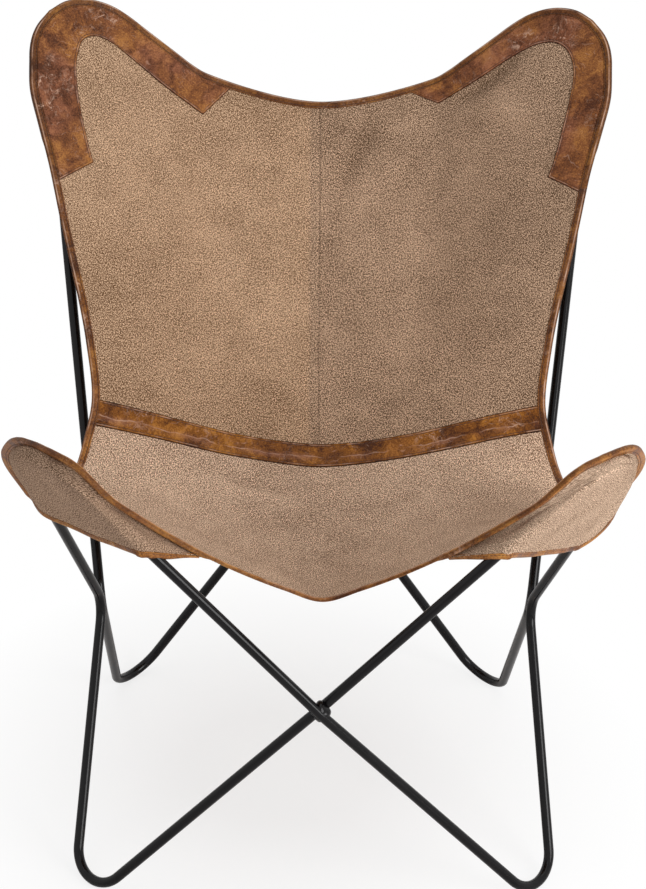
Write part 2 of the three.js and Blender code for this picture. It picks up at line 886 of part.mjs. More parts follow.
sides.forEach(({ name, sign }, index) => {
  const left = index === 0;
  const ear_plane = ear_planes[index];
  const turn = bendOf(back_loop, `turn${sign}`);
  const tip = bendOf(back_loop, `ear${sign}`);
  const ear_stops = [...turn, ...tip];
  const turn_corner = cornerOf(back_loop, `turn${sign}`).place;
  const ear_grid = pocketGrid(
    ear_plane,
    [
      ...fromPlaceToEnd(top_curve, left, ear_mouth_on_top),
      ...fromPlaceToEnd(side_curves[index], true, ear_mouth_on_side).reverse().slice(1),
    ],
    aroundRod(
      ear_plane,
      ear_stops,
      ear_pocket_inner_reach - turn[0].place.distanceTo(turn_corner),
      ear_pocket_outer_reach - tip[tip.length - 1].place.distanceTo(ear_plane.corner),
    ),
    ear_mouth_bow,
  );
  add(`ear_pocket_${name}`, sheetOver(ear_grid, 0, canvas_thickness), canvas_pale);
  add(`ear_mouth_binding_${name}`, mouthStrip(ear_grid, ear_plane), leather_brown);

  const wing_plane = wing_planes[index];
  const wing_stops = bendOf(front_loop, `wing${sign}`);
  const straight = wing_stops[0].place.distanceTo(wing_plane.corner);
  const wing_grid = pocketGrid(
    wing_plane,
    [
      ...fromPlaceToEnd(front_curve, left, wing_mouth_on_front),
      ...fromPlaceToEnd(side_curves[index], false, wing_mouth_on_side).reverse().slice(1),
    ],
    aroundRod(
      wing_plane,
      wing_stops,
      wing_pocket_inner_reach - straight,
      wing_pocket_outer_reach - straight,
    ),
    wing_mouth_bow,
  );
  add(`wing_pocket_${name}`, sheetOver(wing_grid, 0, canvas_thickness), canvas_pale);
  add(`wing_mouth_binding_${name}`, mouthStrip(wing_grid, wing_plane), leather_brown);
});

const bounds = new THREE.Box3().setFromObject(chair);
const middle = bounds.getCenter(at(0, 0, 0));
chair.position.set(-middle.x, -middle.y, -bounds.min.z);

export default chair;
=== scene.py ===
# Butterfly sling chair: two bent rods, a canvas sling, leather trim.
# Sizes are in millimetres and become metres when a mesh is made.
# X runs across the chair, Y from the front to the back, Z up.

import math

import bpy
import numpy as np
from mathutils import Matrix, Vector
from mathutils.bvhtree import BVHTree


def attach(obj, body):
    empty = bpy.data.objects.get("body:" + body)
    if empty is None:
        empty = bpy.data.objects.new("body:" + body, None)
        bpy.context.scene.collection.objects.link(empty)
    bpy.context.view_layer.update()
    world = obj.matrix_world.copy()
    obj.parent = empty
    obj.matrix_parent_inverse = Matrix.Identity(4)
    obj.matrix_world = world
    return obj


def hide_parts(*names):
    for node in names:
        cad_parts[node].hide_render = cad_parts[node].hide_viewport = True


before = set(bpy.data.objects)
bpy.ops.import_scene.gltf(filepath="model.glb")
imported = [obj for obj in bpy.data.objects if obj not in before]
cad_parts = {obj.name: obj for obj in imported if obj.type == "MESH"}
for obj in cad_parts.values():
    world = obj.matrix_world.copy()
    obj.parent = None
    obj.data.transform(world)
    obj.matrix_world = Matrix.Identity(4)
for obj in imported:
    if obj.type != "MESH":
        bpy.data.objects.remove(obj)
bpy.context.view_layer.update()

METRE = 1000.0

# Rods
ROD_RADIUS = 6.35
ROD_OFFSET = 6.5
FEET = {"front": (302, -253), "back": (265, 218)}
FOOT_BEND = 44
SIDE_JOINT = (275, -6, 266)
SIDE_BEND = 40
FRONT_CROSS = (-281, 297)
BACK_CROSS = (240, 340)
CROSS_BEND = 60
WING_CORNER = (375, -279, 715)
WING_BEND = 60
EAR_CORNER = (363, 452, 879)
EAR_LOOP = 85
EAR_BEND = 38
BEND_ROOM = 0.45
# Steps round a bend: while the corners settle, along a rod, and inside a pocket
SETTLE_STEP, ROD_STEP, POCKET_STEP = (math.radians(degrees) for degrees in (13, 7, 6))
SETTLE_PASSES = 20

# Sling
CANVAS = 1.6
SLING_CLEAR = 8.45
POCKET_CLEAR = 7.65
TOP_CENTRE = (0, 484, 751)
FRONT_CENTRE = (0, -235, 423)
CREASE_CENTRE = (0, 104, 419)
WAIST_PULL = 59
SIDE_DROP = 115
FRONT_SAG = 24
FRONT_BOW = 13
SEAT_SAG = 39
BACK_SAG = 10
SAG_SPREAD = 1.3
CREASE_SHARE = 0.527
CANVAS_INSET = 2.4

# Outline at an ear and at a wing, as shares of the ear's loop and the wing's bend:
# along the outer rod, then inward
EAR_TOP = [
    (0.87, 2.67), (0.73, 2.4), (0.54, 2.14), (0.35, 1.88), (0.165, 1.63),
    (-0.02, 1.38), (-0.165, 1.13), (-0.25, 0.86), (-0.27, 0.6), (-0.22, 0.32),
]
EAR_TIP = (-0.06, 0.035)
EAR_SIDE = [
    (0.165, -0.176), (0.35, -0.28), (0.55, -0.34), (0.74, -0.365), (1.12, -0.4),
    (1.31, -0.39), (1.68, -0.33), (2.1, -0.26), (2.42, -0.21),
]
WING_SIDE = [
    (5.5, -0.8), (4.77, -1), (3.92, -1.1), (3.27, -0.95), (2.67, -0.65), (2.12, -0.3),
    (1.75, 0.05),
]
WING_TIP = (1.5, 0.47)
WING_FRONT = [(1.37, 0.83), (1.28, 1.15), (1.22, 1.45), (1.3, 1.72), (1.62, 1.98), (1.98, 2.28)]

# Side edge between ear and wing: place on the chord, share of the pull, of the drop
SIDE_EDGE = [
    (0.15, 0.29, 0.12), (0.23, 0.48, 0.25), (0.31, 0.68, 0.39), (0.4, 0.86, 0.55),
    (0.52, 1, 0.76), (0.6, 0.85, 0.9), (0.66, 0.7, 0.98), (0.76, 0.48, 0.87),
    (0.88, 0.24, 0.53),
]
FRONT_EDGE = [0.14, 0.26, 0.4, 0.6, 0.82]

# Pockets
# Each reaches along the outer and inner rod, and along the side and the top or front edge.
EAR_POCKET = {"outer": 152, "inner": 80, "side": 183, "top": 190, "bow": 8, "corner": [],
              "puff": (1.4, 2.2)}
POCKETS = {
    "ear": [EAR_POCKET, EAR_POCKET],
    "wing": [
        {"outer": 274, "inner": 252, "side": 247, "top": 276, "bow": 8, "corner": [],
         "puff": (0, 2)},
        {"outer": 350, "inner": 252, "side": 222, "top": 276, "bow": 5,
         "corner": [(350, -37), (322, -45)], "puff": (7, 13)},
    ],
}
POCKET_ROOM = 3
MOUTH_END = (9.0, -3.0)

SIDES = [("left", -1), ("right", 1)]


# Vectors


def vec(*numbers):
    return np.array(numbers, float)


def unit(ways):
    return ways / np.linalg.norm(ways, axis=-1, keepdims=True)


def turned(way, axis, angle):
    return (
        way * math.cos(angle)
        + np.cross(axis, way) * math.sin(angle)
        + axis * np.dot(axis, way) * (1 - math.cos(angle))
    )


def mixed(first, second, share):
    share = np.asarray(share)[..., None]
    return first * (1 - share) + second * share


def eased(low, high, values):
    share = np.clip((values - low) / (high - low), 0, 1)
    return share * share * (3 - 2 * share)


# The two rods, as loops of corners


class Corner:
    def __init__(self, name, place, radius, weld=False, stands=False):
        self.name = name
        self.place = vec(*place)
        self.radius = radius
        self.weld = self.place.copy() if weld else None
        self.stands = stands


def bend_at(loop, index, step=SETTLE_STEP):
    """The places and directions of the rod round one corner."""
    corner = loop[index]
    behind = loop[index - 1].place - corner.place
    onward = loop[(index + 1) % len(loop)].place - corner.place
    room = BEND_ROOM * min(np.linalg.norm(behind), np.linalg.norm(onward))
    behind, onward = unit(behind), unit(onward)
    turn = math.pi - math.acos(np.dot(behind, onward))
    reach = min(corner.radius * math.tan(turn / 2), room)
    radius = reach / math.tan(turn / 2)
    travel = -behind
    axis = unit(np.cross(travel, onward))
    start = corner.place + behind * reach
    centre = start + np.cross(axis, travel) * radius
    count = 2 * math.ceil(turn / (2 * step))
    angles = [turn * index / count for index in range(count + 1)]
    places = [turned(start - centre, axis, angle) + centre for angle in angles]
    return np.array(places), np.array([turned(travel, axis, angle) for angle in angles])


def settle(loop):
    for _ in range(SETTLE_PASSES):
        for index, corner in enumerate(loop):
            places, _ = bend_at(loop, index)
            if corner.weld is not None:
                corner.place += corner.weld - places[len(places) // 2]
            if corner.stands:
                corner.place[2] += ROD_RADIUS - places[:, 2].min()


def find(loop, name):
    return next(index for index, corner in enumerate(loop) if corner.name == name)


def plane_at(corner, outer_end, inner_end):
    along = unit(outer_end - corner)
    inward = inner_end - corner
    inward = unit(inward - along * np.dot(inward, along))
    front = np.cross(along, inward)
    if np.dot(front, vec(*CREASE_CENTRE) - corner) < 0:
        front = -front
    return {"corner": corner, "along": along, "inward": inward, "front": front}


def on_plane(plane, along, inward, lift=0.0):
    return (
        plane["corner"]
        + plane["along"] * along
        + plane["inward"] * inward
        + plane["front"] * lift
    )


def bowed(first, last, bow, plane, u):
    """Places on the line between two others, bowed away from a plane's corner."""
    way = unit(np.cross(last - first, plane["front"]))
    if np.dot(way, first - plane["corner"]) < 0:
        way = -way
    return first + (last - first) * u + way * 4 * bow * u * (1 - u)


def side_weld(sign, back):
    x, y, z = SIDE_JOINT
    return vec(sign * x, y + (ROD_OFFSET if back else -ROD_OFFSET), z)


def cross_weld(place, sign):
    return vec(0, place[0] + sign * ROD_OFFSET, place[1])


def ear_corner(sign):
    return vec(sign * EAR_CORNER[0], *EAR_CORNER[1:])


front_loop, back_loop = [], []
for _, sign in SIDES:
    x, y = FEET["front"]
    front_loop += [
        Corner(f"foot{sign}", (sign * x, y, 0), FOOT_BEND, stands=True),
        Corner(f"cross{-sign}", cross_weld(FRONT_CROSS, -sign), CROSS_BEND, weld=True),
        Corner(f"wing{-sign}", (-sign * WING_CORNER[0], *WING_CORNER[1:]), WING_BEND),
        Corner(f"side{-sign}", side_weld(-sign, back=False), SIDE_BEND, weld=True),
    ]
    x, y = FEET["back"]
    cross = cross_weld(BACK_CROSS, -sign)
    ear_plane = plane_at(ear_corner(-sign), side_weld(-sign, back=True), cross)
    back_loop += [
        Corner(f"foot{sign}", (sign * x, y, 0), FOOT_BEND, stands=True),
        Corner(f"cross{-sign}", cross, CROSS_BEND, weld=True),
        Corner(f"turn{-sign}", on_plane(ear_plane, 0, EAR_LOOP), EAR_BEND),
        Corner(f"ear{-sign}", ear_corner(-sign), EAR_BEND),
        Corner(f"side{-sign}", side_weld(-sign, back=True), SIDE_BEND, weld=True),
    ]
settle(front_loop)
settle(back_loop)

EAR_PLANES, WING_PLANES = [], []
for _, sign in SIDES:
    for planes, loop, key in ((EAR_PLANES, back_loop, "ear"), (WING_PLANES, front_loop, "wing")):
        places = [loop[find(loop, f"{n}{sign}")].place for n in (key, "side", "cross")]
        planes.append(plane_at(*places))


# Smooth lines


def runs_of(points):
    """The distance along a row of points, at each of them."""
    steps = np.linalg.norm(np.diff(points, axis=0), axis=1)
    return np.concatenate([[0], np.cumsum(steps)])


def read_at(places, known, values):
    """Values that are given at known places, read at others."""
    return np.stack([np.interp(places, known, values[:, axis]) for axis in range(3)], -1)


class Line:
    """A line through close points, read by its share of the length."""

    def __init__(self, points):
        self.points = np.asarray(points, float)
        self.runs = runs_of(self.points)
        self.length = self.runs[-1]

    def at(self, shares):
        return read_at(np.asarray(shares) * self.length, self.runs, self.points)


def smooth(points, count=40):
    """A line that passes through every point without overshooting between them."""
    points = np.array(points, float)
    ends = (2 * points[0] - points[1], 2 * points[-1] - points[-2])
    points = np.vstack([ends[0], points, ends[1]])
    dense = [points[1]]
    for index in range(1, len(points) - 2):
        p0, p1, p2, p3 = points[index - 1 : index + 3]
        d0, d1, d2 = (
            math.sqrt(np.linalg.norm(b - a)) for a, b in ((p0, p1), (p1, p2), (p2, p3))
        )
        t1 = ((p1 - p0) / d0 - (p2 - p0) / (d0 + d1) + (p2 - p1) / d1) * d1
        t2 = ((p2 - p1) / d1 - (p3 - p1) / (d1 + d2) + (p3 - p2) / d2) * d1
        for step in range(1, count + 1):
            s = step / count
            dense.append(
                p1
                + t1 * s
                + (3 * (p2 - p1) - 2 * t1 - t2) * s**2
                + (2 * (p1 - p2) + t1 + t2) * s**3
            )
    return Line(dense)


def laid_out(plane, shares, size):
    return [on_plane(plane, a * size, b * size, SLING_CLEAR) for a, b in shares]


def side_edge(index):
    upper = laid_out(EAR_PLANES[index], [EAR_TIP, *EAR_SIDE], EAR_LOOP)
    lower = laid_out(WING_PLANES[index], [*WING_SIDE, WING_TIP], WING_BEND)
    pull = WAIST_PULL * SIDES[index][1]
    free = [
        mixed(upper[-1], lower[0], place) - vec(pull * pulled, 0, SIDE_DROP * dropped)
        for place, pulled, dropped in SIDE_EDGE
    ]
    return smooth([*upper, *free, *lower])


def front_half(index):
    corner = laid_out(WING_PLANES[index], [WING_TIP, *WING_FRONT], WING_BEND)
    humps = [4 * place * (1 - place) for place in FRONT_EDGE]
    free = [
        mixed(corner[-1], vec(*FRONT_CENTRE), place) + vec(0, FRONT_BOW * hump, -FRONT_SAG * hump)
        for place, hump in zip(FRONT_EDGE, humps)
    ]
    return [*corner, *free]


def ear_top(index):
    return laid_out(EAR_PLANES[index], [*EAR_TOP, EAR_TIP], EAR_LOOP)


top_line = smooth([*ear_top(0)[::-1], TOP_CENTRE, *ear_top(1)])
side_lines = [side_edge(0), side_edge(1)]
front_line = smooth([*front_half(0), FRONT_CENTRE, *front_half(1)[::-1]])


# The sling's surface: a back and a seat that meet at the crease


def stretched(top, bottom, left, right):
    """A surface between four lines, given as rows of points."""
    u = np.linspace(0, 1, len(top))[None, :, None]
    v = np.linspace(0, 1, len(left))[:, None, None]
    return (
        top[None] * (1 - v)
        + bottom[None] * v
        + left[:, None] * (1 - u)
        + right[:, None] * u
        - top[0] * (1 - u) * (1 - v)
        - top[-1] * u * (1 - v)
        - bottom[0] * (1 - u) * v
        - bottom[-1] * u * v
    )


def clear_of(grid, planes):
    """Lifts a surface off the rods' planes."""
    for plane in planes:
        height = (grid - plane["corner"]) @ plane["front"]
        grid = grid + plane["front"] * np.maximum(SLING_CLEAR - height, 0)[..., None]
    return grid


def sagged(grid, sag):
    """Lets a surface hang by a sag from the straight line down its middle."""
    middle = grid.shape[1] // 2
    u = np.linspace(0, 1, grid.shape[1])
    v = np.linspace(0, 1, len(grid))[:, None]
    spread = ((1 - (2 * u - 1) ** 2) ** SAG_SPREAD)[None, :, None]
    wanted = grid[0, middle] + (grid[-1, middle] - grid[0, middle]) * v
    wanted = wanted + sag * (4 * v * (1 - v))
    return grid + (wanted - grid[:, middle])[:, None] * spread


def sling_grid(top, sides, front, columns, back_rows, seat_rows):
    """Rows of points from the top edge to the front edge."""
    centre = vec(*CREASE_CENTRE)
    crease = smooth([sides[0].at(CREASE_SHARE), centre, sides[1].at(CREASE_SHARE)])
    u = np.linspace(0, 1, columns)
    shares = np.linspace(0, 1, back_rows) * CREASE_SHARE
    back = stretched(top.at(u), crease.at(u), *(side.at(shares) for side in sides))
    chord = centre - vec(*TOP_CENTRE)
    back = sagged(back, unit(vec(0, -chord[2], chord[1])) * BACK_SAG)
    shares = CREASE_SHARE + np.linspace(0, 1, seat_rows) * (1 - CREASE_SHARE)
    seat = stretched(crease.at(u), front.at(u), *(side.at(shares) for side in sides))
    seat = sagged(seat, vec(0, 0, -SEAT_SAG))
    return np.vstack([clear_of(back, EAR_PLANES), clear_of(seat, WING_PLANES)[1:]])


def facing(grid):
    """The way that each point of a grid faces: out of the sheet, to the sitter."""
    down, across = np.gradient(grid, axis=0), np.gradient(grid, axis=1)
    ways = np.cross(down, across)
    return ways / np.maximum(np.linalg.norm(ways, axis=-1, keepdims=True), 1e-9)


# The sling's border as one closed line, with the way inward and the way it faces

BORDER_STEP = 2.5
BORDER_EVENED = 6
# A coarse sling gives the border its facing: its columns and rows, the row that is read
# inside each edge, the places left out at that row's ends, and how close ones weigh
GUIDE_SIZE = (121, 81, 81)
GUIDE_ROW = 3
GUIDE_END = 4
GUIDE_BLUR = 2
GUIDE_POWER = 4
# Distances from a tip at which the border faces as the rods' plane does, and no more
EAR_FACING = (110, 200)
WING_FACING = (70, 150)
EDGE_POINTS = 500


def evened(values, axis=0):
    """Each value mixed with its two neighbours, round a closed line."""
    return (np.roll(values, 1, axis) + 2 * values + np.roll(values, -1, axis)) / 4


class Border:
    def __init__(self):
        lines = zip((top_line, side_lines[1], front_line, side_lines[0]), (1, 1, -1, -1))
        parts = [line.points[::way] for line, way in lines]
        self.starts = np.cumsum([0] + [Line(part).length for part in parts])
        self.length = self.starts[-1]
        whole = Line(np.vstack([parts[0]] + [part[1:] for part in parts[1:]]))
        count = int(self.length / BORDER_STEP)
        self.run = np.arange(count) * self.length / count
        self.place = whole.at(self.run / self.length)
        travel = unit(np.roll(self.place, -2, 0) - np.roll(self.place, 2, 0))
        guide = sling_grid(top_line, side_lines, front_line, *GUIDE_SIZE)
        first, last, kept = GUIDE_ROW, -1 - GUIDE_ROW, slice(GUIDE_END, -GUIDE_END)
        near, face = (
            np.vstack([row[kept] for row in (
                grid[first], grid[:, last], grid[last, ::-1], grid[::-1, first])])
            for grid in (guide, facing(guide))
        )
        gaps = np.linalg.norm(self.place[:, None] - near[None], axis=2)
        weight = 1 / (gaps + GUIDE_BLUR) ** GUIDE_POWER
        out = unit((weight[..., None] * face[None]).sum(1))
        half = self.length / 2
        for part, plane in enumerate([*EAR_PLANES, *WING_PLANES[::-1]]):
            away = np.abs((self.run - self.starts[part] + half) % self.length - half)
            reach = EAR_FACING if part < 2 else WING_FACING
            out = mixed(out, plane["front"], 1 - eased(*reach, away))
        out = unit(out)
        inward = np.cross(travel, out)
        probe = count // 50
        middle = guide[GUIDE_SIZE[1] // 2, GUIDE_SIZE[0] // 2]
        if np.dot(inward[probe], middle - self.place[probe]) < 0:
            inward = -inward
        for _ in range(BORDER_EVENED):
            inward, out = evened(inward), evened(out)
        self.inward = unit(inward)
        across = np.cross(self.inward, travel)
        self.out = unit(across * np.sign((across * out).sum(-1, keepdims=True)))

    def read(self, values, runs):
        table = np.vstack([values, values[:1]])
        return read_at(np.asarray(runs) % self.length, np.append(self.run, self.length), table)

    def at(self, runs, inward=0.0, out=0.0):
        """A place this far along the border, inward over the cloth, and out of it."""
        inward, out = np.asarray(inward)[..., None], np.asarray(out)[..., None]
        return (
            self.read(self.place, runs)
            + unit(self.read(self.inward, runs)) * inward
            + unit(self.read(self.out, runs)) * out
        )

    def part(self, index, inward):
        """One of the four edges, moved inward: top, right, front or left."""
        runs = np.linspace(self.starts[index], self.starts[index + 1], EDGE_POINTS)
        runs[-1] -= 1e-6
        return Line(self.at(runs, inward))


border = Border()


# A pocket goes round the outside of a rod, and its mouth runs from border to border

TIPS = {
    "ear": [border.starts[0], border.starts[1]],
    "wing": [border.starts[3], border.starts[2]],
}


def rod_round(kind, index):
    """The rod inside a pocket: places and directions from its inner to its outer reach."""
    sign = SIDES[index][1]
    names, loop, plane = {
        "ear": (("turn", "ear"), back_loop, EAR_PLANES[index]),
        "wing": (("wing",), front_loop, WING_PLANES[index]),
    }[kind]
    corners = [find(loop, f"{name}{sign}") for name in names]
    bends = [bend_at(loop, corner, POCKET_STEP) for corner in corners]
    places, travels = (np.vstack(parts) for parts in zip(*bends))
    sizes = POCKETS[kind][index]
    inner = sizes["inner"] - np.linalg.norm(places[0] - loop[corners[0]].place)
    outer = sizes["outer"] - np.linalg.norm(places[-1] - loop[corners[-1]].place)
    places = np.vstack([places[0] - travels[0] * inner, places, places[-1] + travels[-1] * outer])
    travels = np.vstack([travels[0], travels, travels[-1]])
    return plane, places, travels


def around_rod(plane, places, travels):
    ways = np.cross(travels, plane["front"])
    sense = -np.sign(np.dot(ways[-1], plane["inward"]))
    return places + ways * sense * (ROD_RADIUS + POCKET_ROOM) - plane["front"] * POCKET_CLEAR


def mouth_runs(kind, index):
    """Where a pocket's mouth meets the border: at the top or front, and at the side."""
    tip, sizes = TIPS[kind][index], POCKETS[kind][index]
    way = 1 if (kind == "ear") == (index == 0) else -1
    return tip + way * sizes["top"], tip - way * sizes["side"]


def mouth_line(kind, index, plane, ring):
    """A pocket's open edge, from the top or front edge of the sling to its side edge."""
    sizes = POCKETS[kind][index]
    start, end = (border.at([run], *MOUTH_END)[0] for run in mouth_runs(kind, index))
    free = bowed(ring[0], ring[-1], sizes["bow"], plane, np.linspace(0, 1, 5)[:, None])
    corner = [on_plane(plane, *place, -POCKET_CLEAR) for place in sizes["corner"]]
    return smooth([start, *free, *corner, end])


# From the place where the rods were laid out to the middle of the box, on the floor
TO_PART_FRAME = vec(-0.038, -102.424, -0.039)


# Pieces


def to_metres(points):
    return (np.asarray(points) + TO_PART_FRAME) / METRE


def mesh_piece(name, points, faces, marks=None, **measures):
    """A mesh object at the origin, with its place in its vertices. The marks say where
    each point lies on the flat material, and each measure becomes an attribute."""
    mesh = bpy.data.meshes.new(name)
    places = to_metres(points).reshape(-1, 3).tolist()
    mesh.from_pydata(places, [], [list(map(int, face)) for face in faces])
    if marks is not None:
        layer = mesh.uv_layers.new(name="flat_cut")
        order = np.empty(len(mesh.loops), int)
        mesh.loops.foreach_get("vertex_index", order)
        layer.data.foreach_set("uv", (marks.reshape(-1, 2)[order] / METRE).ravel())
    for key, values in measures.items():
        layer = mesh.attributes.new(key, "FLOAT", "POINT")
        layer.data.foreach_set("value", np.asarray(values, float).ravel())
    mesh.update()
    piece = bpy.data.objects.new(name, mesh)
    bpy.context.scene.collection.objects.link(piece)
    return piece


def choose(piece):
    bpy.ops.object.select_all(action="DESELECT")
    piece.select_set(True)
    bpy.context.view_layer.objects.active = piece


def edit_all(piece, operator, **settings):
    """Runs an operator of edit mode on the whole of a piece."""
    choose(piece)
    bpy.ops.object.mode_set(mode="EDIT")
    bpy.ops.mesh.select_all(action="SELECT")
    operator(**settings)
    bpy.ops.object.mode_set(mode="OBJECT")


def ball(segments, rings, radius, operator, **settings):
    """A ball that an operator of edit mode has worked on."""
    bpy.ops.object.select_all(action="DESELECT")
    bpy.ops.mesh.primitive_uv_sphere_add(segments=segments, ring_count=rings, radius=radius)
    piece = bpy.context.object
    edit_all(piece, operator, **settings)
    return piece


def finish_piece(piece, material, replaces=(), smooth_angle=None):
    """Gives a piece its finish, its ride and the nodes it stands for."""
    piece.data.materials.clear()
    piece.data.materials.append(material)
    choose(piece)
    if smooth_angle is None:
        bpy.ops.object.shade_smooth()
    else:
        bpy.ops.object.shade_smooth_by_angle(angle=math.radians(smooth_angle))
    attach(piece, "root")
    if replaces:
        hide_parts(*replaces)


# Shader sums


class Shade:
    """A socket of a material's nodes, so that its maths reads as a sum."""

    def __init__(self, tree, socket):
        self.tree = tree
        self.socket = socket

    def math(self, operation, *values):
        node = self.tree.nodes.new("ShaderNodeMath")
        node.operation = operation
        for socket, value in zip(node.inputs, values):
            plug(self.tree, socket, value)
        return Shade(self.tree, node.outputs[0])

    def sine(self):
        return self.math("SINE", self)

    def __abs__(self):
        return self.math("ABSOLUTE", self)

    def __add__(self, other):
        return self.math("ADD", self, other)

    def __radd__(self, other):
        return self.math("ADD", other, self)

    def __sub__(self, other):
        return self.math("SUBTRACT", self, other)

    def __rsub__(self, other):
        return self.math("SUBTRACT", other, self)

    def __mul__(self, other):
        return self.math("MULTIPLY", self, other)

    def __rmul__(self, other):
        return self.math("MULTIPLY", other, self)

    def __pow__(self, other):
        return self.math("POWER", self, other)


def plug(tree, socket, value):
    if isinstance(value, Shade):
        tree.links.new(value.socket, socket)
    else:
        socket.default_value = value


class Finish:
    """A material for one of the chair's surfaces."""

    def __init__(self, name, **surface):
        self.material = bpy.data.materials.new(name)
        self.material.use_nodes = True
        self.tree = self.material.node_tree
        self.surface = self.tree.nodes["Principled BSDF"]
        self.set(**surface)

    def set(self, **surface):
        for key, value in surface.items():
            name = key.replace("_", " ").title().replace("Ior", "IOR")
            plug(self.tree, self.surface.inputs[name], value)

    def node(self, kind, settings=None, inputs=None, out=0):
        node = self.tree.nodes.new("ShaderNode" + kind)
        for key, value in (settings or {}).items():
            setattr(node, key, value)
        for key, value in (inputs or {}).items():
            plug(self.tree, node.inputs[key], value)
        return Shade(self.tree, node.outputs[out])

    def noise(self, where, scale, detail=2.0, roughness=0.5, distortion=0.0):
        return self.node("TexNoise", None, {
            "Vector": where, "Scale": scale, "Detail": detail,
            "Roughness": roughness, "Distortion": distortion,
        })

    def streaks(self, where, scale, detail=0.0, roughness=0.5):
        """Noise that is drawn out by a scale of its own for each axis."""
        drawn = self.node("Mapping", None, {"Vector": where, "Scale": scale})
        return self.noise(drawn, 1.0, detail, roughness)

    def patches(self, low, high, where, scale, *noise):
        """Soft patches: 0 where a noise is low and 1 where it is high."""
        return self.span(self.noise(where, scale, *noise), low, high)

    def wandering(self, where, scale, detail, reach):
        """The same places, each drawn aside by a soft noise."""
        aside = self.node(
            "TexNoise", None, {"Vector": where, "Scale": scale, "Detail": detail}, out=1)
        return self.node(
            "VectorMath", {"operation": "MULTIPLY_ADD"}, {0: aside, 1: reach, 2: where})

    def place(self):
        """Where a point lies on the chair, in metres."""
        return self.node("TexCoord", out=3)

    def cut(self):
        """Where a point lies on the flat material, in metres."""
        return self.node("UVMap", {"uv_map": "flat_cut"})

    def measure(self, name):
        return self.node("Attribute", {"attribute_name": name}, out=2)

    def part(self, where, axis):
        return self.node("SeparateXYZ", None, {0: where}, out=axis)

    def blend(self, share, first, second, way="MIX"):
        return self.node(
            "Mix", {"data_type": "RGBA", "blend_type": way, "clamp_factor": True},
            {0: share, 6: first, 7: second}, out=2,
        )

    def span(self, value, low, high, to_low=0.0, to_high=1.0):
        return self.node("MapRange", {"clamp": True}, {
            0: value, 1: low, 2: high, 3: to_low, 4: to_high,
        })

    def line_at(self, value, middle, half):
        """1 along a line where the value is in the middle, fading to 0 on both sides."""
        return self.span(abs(value - middle), 0.0, half, 1.0, 0.0)

    def bump(self, height, distance, strength):
        return self.node(
            "Bump", None, {"Height": height, "Distance": distance, "Strength": strength})


def paint(red, green, blue):
    """A colour given as it looks, from 0 to 255, for a shader."""
    shares = [number / 255 for number in (red, green, blue)]
    return (*[s / 12.92 if s <= 0.04045 else ((s + 0.055) / 1.055) ** 2.4 for s in shares], 1.0)


YARN_PITCH = 0.0023
# Where the painted shade of the back's right half sets in across the chair, and how ragged its edge
# is
SHADE_LINE = (-0.0135, -0.0095)
SHADE_RAGGED = 0.006


def canvas_finish(name, dark, light, shaded=None):
    """Rough plain-woven canvas with uneven yarns. The shaded colours, painted shade, take over
    across the chair, between the two places of SHADE_LINE."""
    made = Finish(name, roughness=0.95, specular_ior_level=0.06)
    cut, place = made.cut(), made.place()
    wander = made.wandering(cut, 160.0, 1.0, (0.0014, 0.0014, 0.0))
    warp, weft = ((made.part(wander, axis) * (2 * math.pi / YARN_PITCH)).sine() for axis in (0, 1))
    weave = warp * weft * 0.5 + 0.5
    nubs = made.node("SeparateColor", None, {
        0: made.node("TexVoronoi", {"feature": "F1"}, {"Vector": wander, "Scale": 1150.0}, out=1),
    })
    yarn_down = made.streaks(cut, (880.0, 430.0, 1.0))
    yarn_across = made.streaks(cut, (430.0, 880.0, 1.0))
    grain = made.noise(cut, 800.0, 0.0)
    blotch = made.noise(place, 30.0, 4.0, 0.6)
    cloud = made.noise(place, 6.5)
    tone = (
        0.5
        + (nubs - 0.5) * 0.5
        + (grain - 0.5) * 2.4
        + (weave - 0.5) * 0.3
        + (yarn_down - 0.5) * 1.6
        + (yarn_across - 0.5) * 1.0
        + (blotch - 0.5) * 0.4
        + (cloud - 0.5) * 0.45
        # painted shade: the cloth is darker where it is sunk in a dent
        - made.measure("sunk") * 0.05
    )
    slub = made.span(made.streaks(cut, (330.0, 38.0, 1.0), 1.0), 0.74, 0.8)
    nub = made.span(made.streaks(cut, (45.0, 300.0, 1.0), 1.0), 0.75, 0.81)
    tone = made.span(tone + slub * 0.3 + nub * 0.25, 0.0, 1.0) ** 1.5
    height = weave * 0.45 + nubs * 0.5 + grain * 0.6 + (yarn_down + yarn_across) * 0.4 + slub * 0.4
    colour = made.blend(tone, paint(*dark), paint(*light))
    # painted shade: past SHADE_LINE the cloth takes darker copies of its colours
    if shaded is not None:
        ragged = made.part(place, 0) + (blotch - 0.5) * SHADE_RAGGED
        far = made.blend(tone, *(paint(*tint) for tint in shaded))
        colour = made.blend(made.span(ragged, *SHADE_LINE), colour, far)
    made.set(base_color=colour, normal=made.bump(height, 0.0006, 0.7))
    return made.material


# A rosy tone, and a pale one for scuffs and for painted highlights
ROSE, SCUFF_AND_HIGHLIGHT = paint(142, 88, 72), paint(218, 180, 156)
# Lines along a strip of leather in millimetres, as a place and half a width: from the edge
# of a cut strip its stitched groove and the painted highlight on its rim, and round the girth
# of a folded strip its stitched groove, the painted highlight on its fold and its under side
CUT_GROOVE, CUT_HIGHLIGHT = (3.6, 0.75), (2.3, 0.8)
FOLD_GROOVE, FOLD_HIGHLIGHT, FOLD_UNDER = (3.1, 0.8), (9.4, 1.2), (12.8, 2.4)


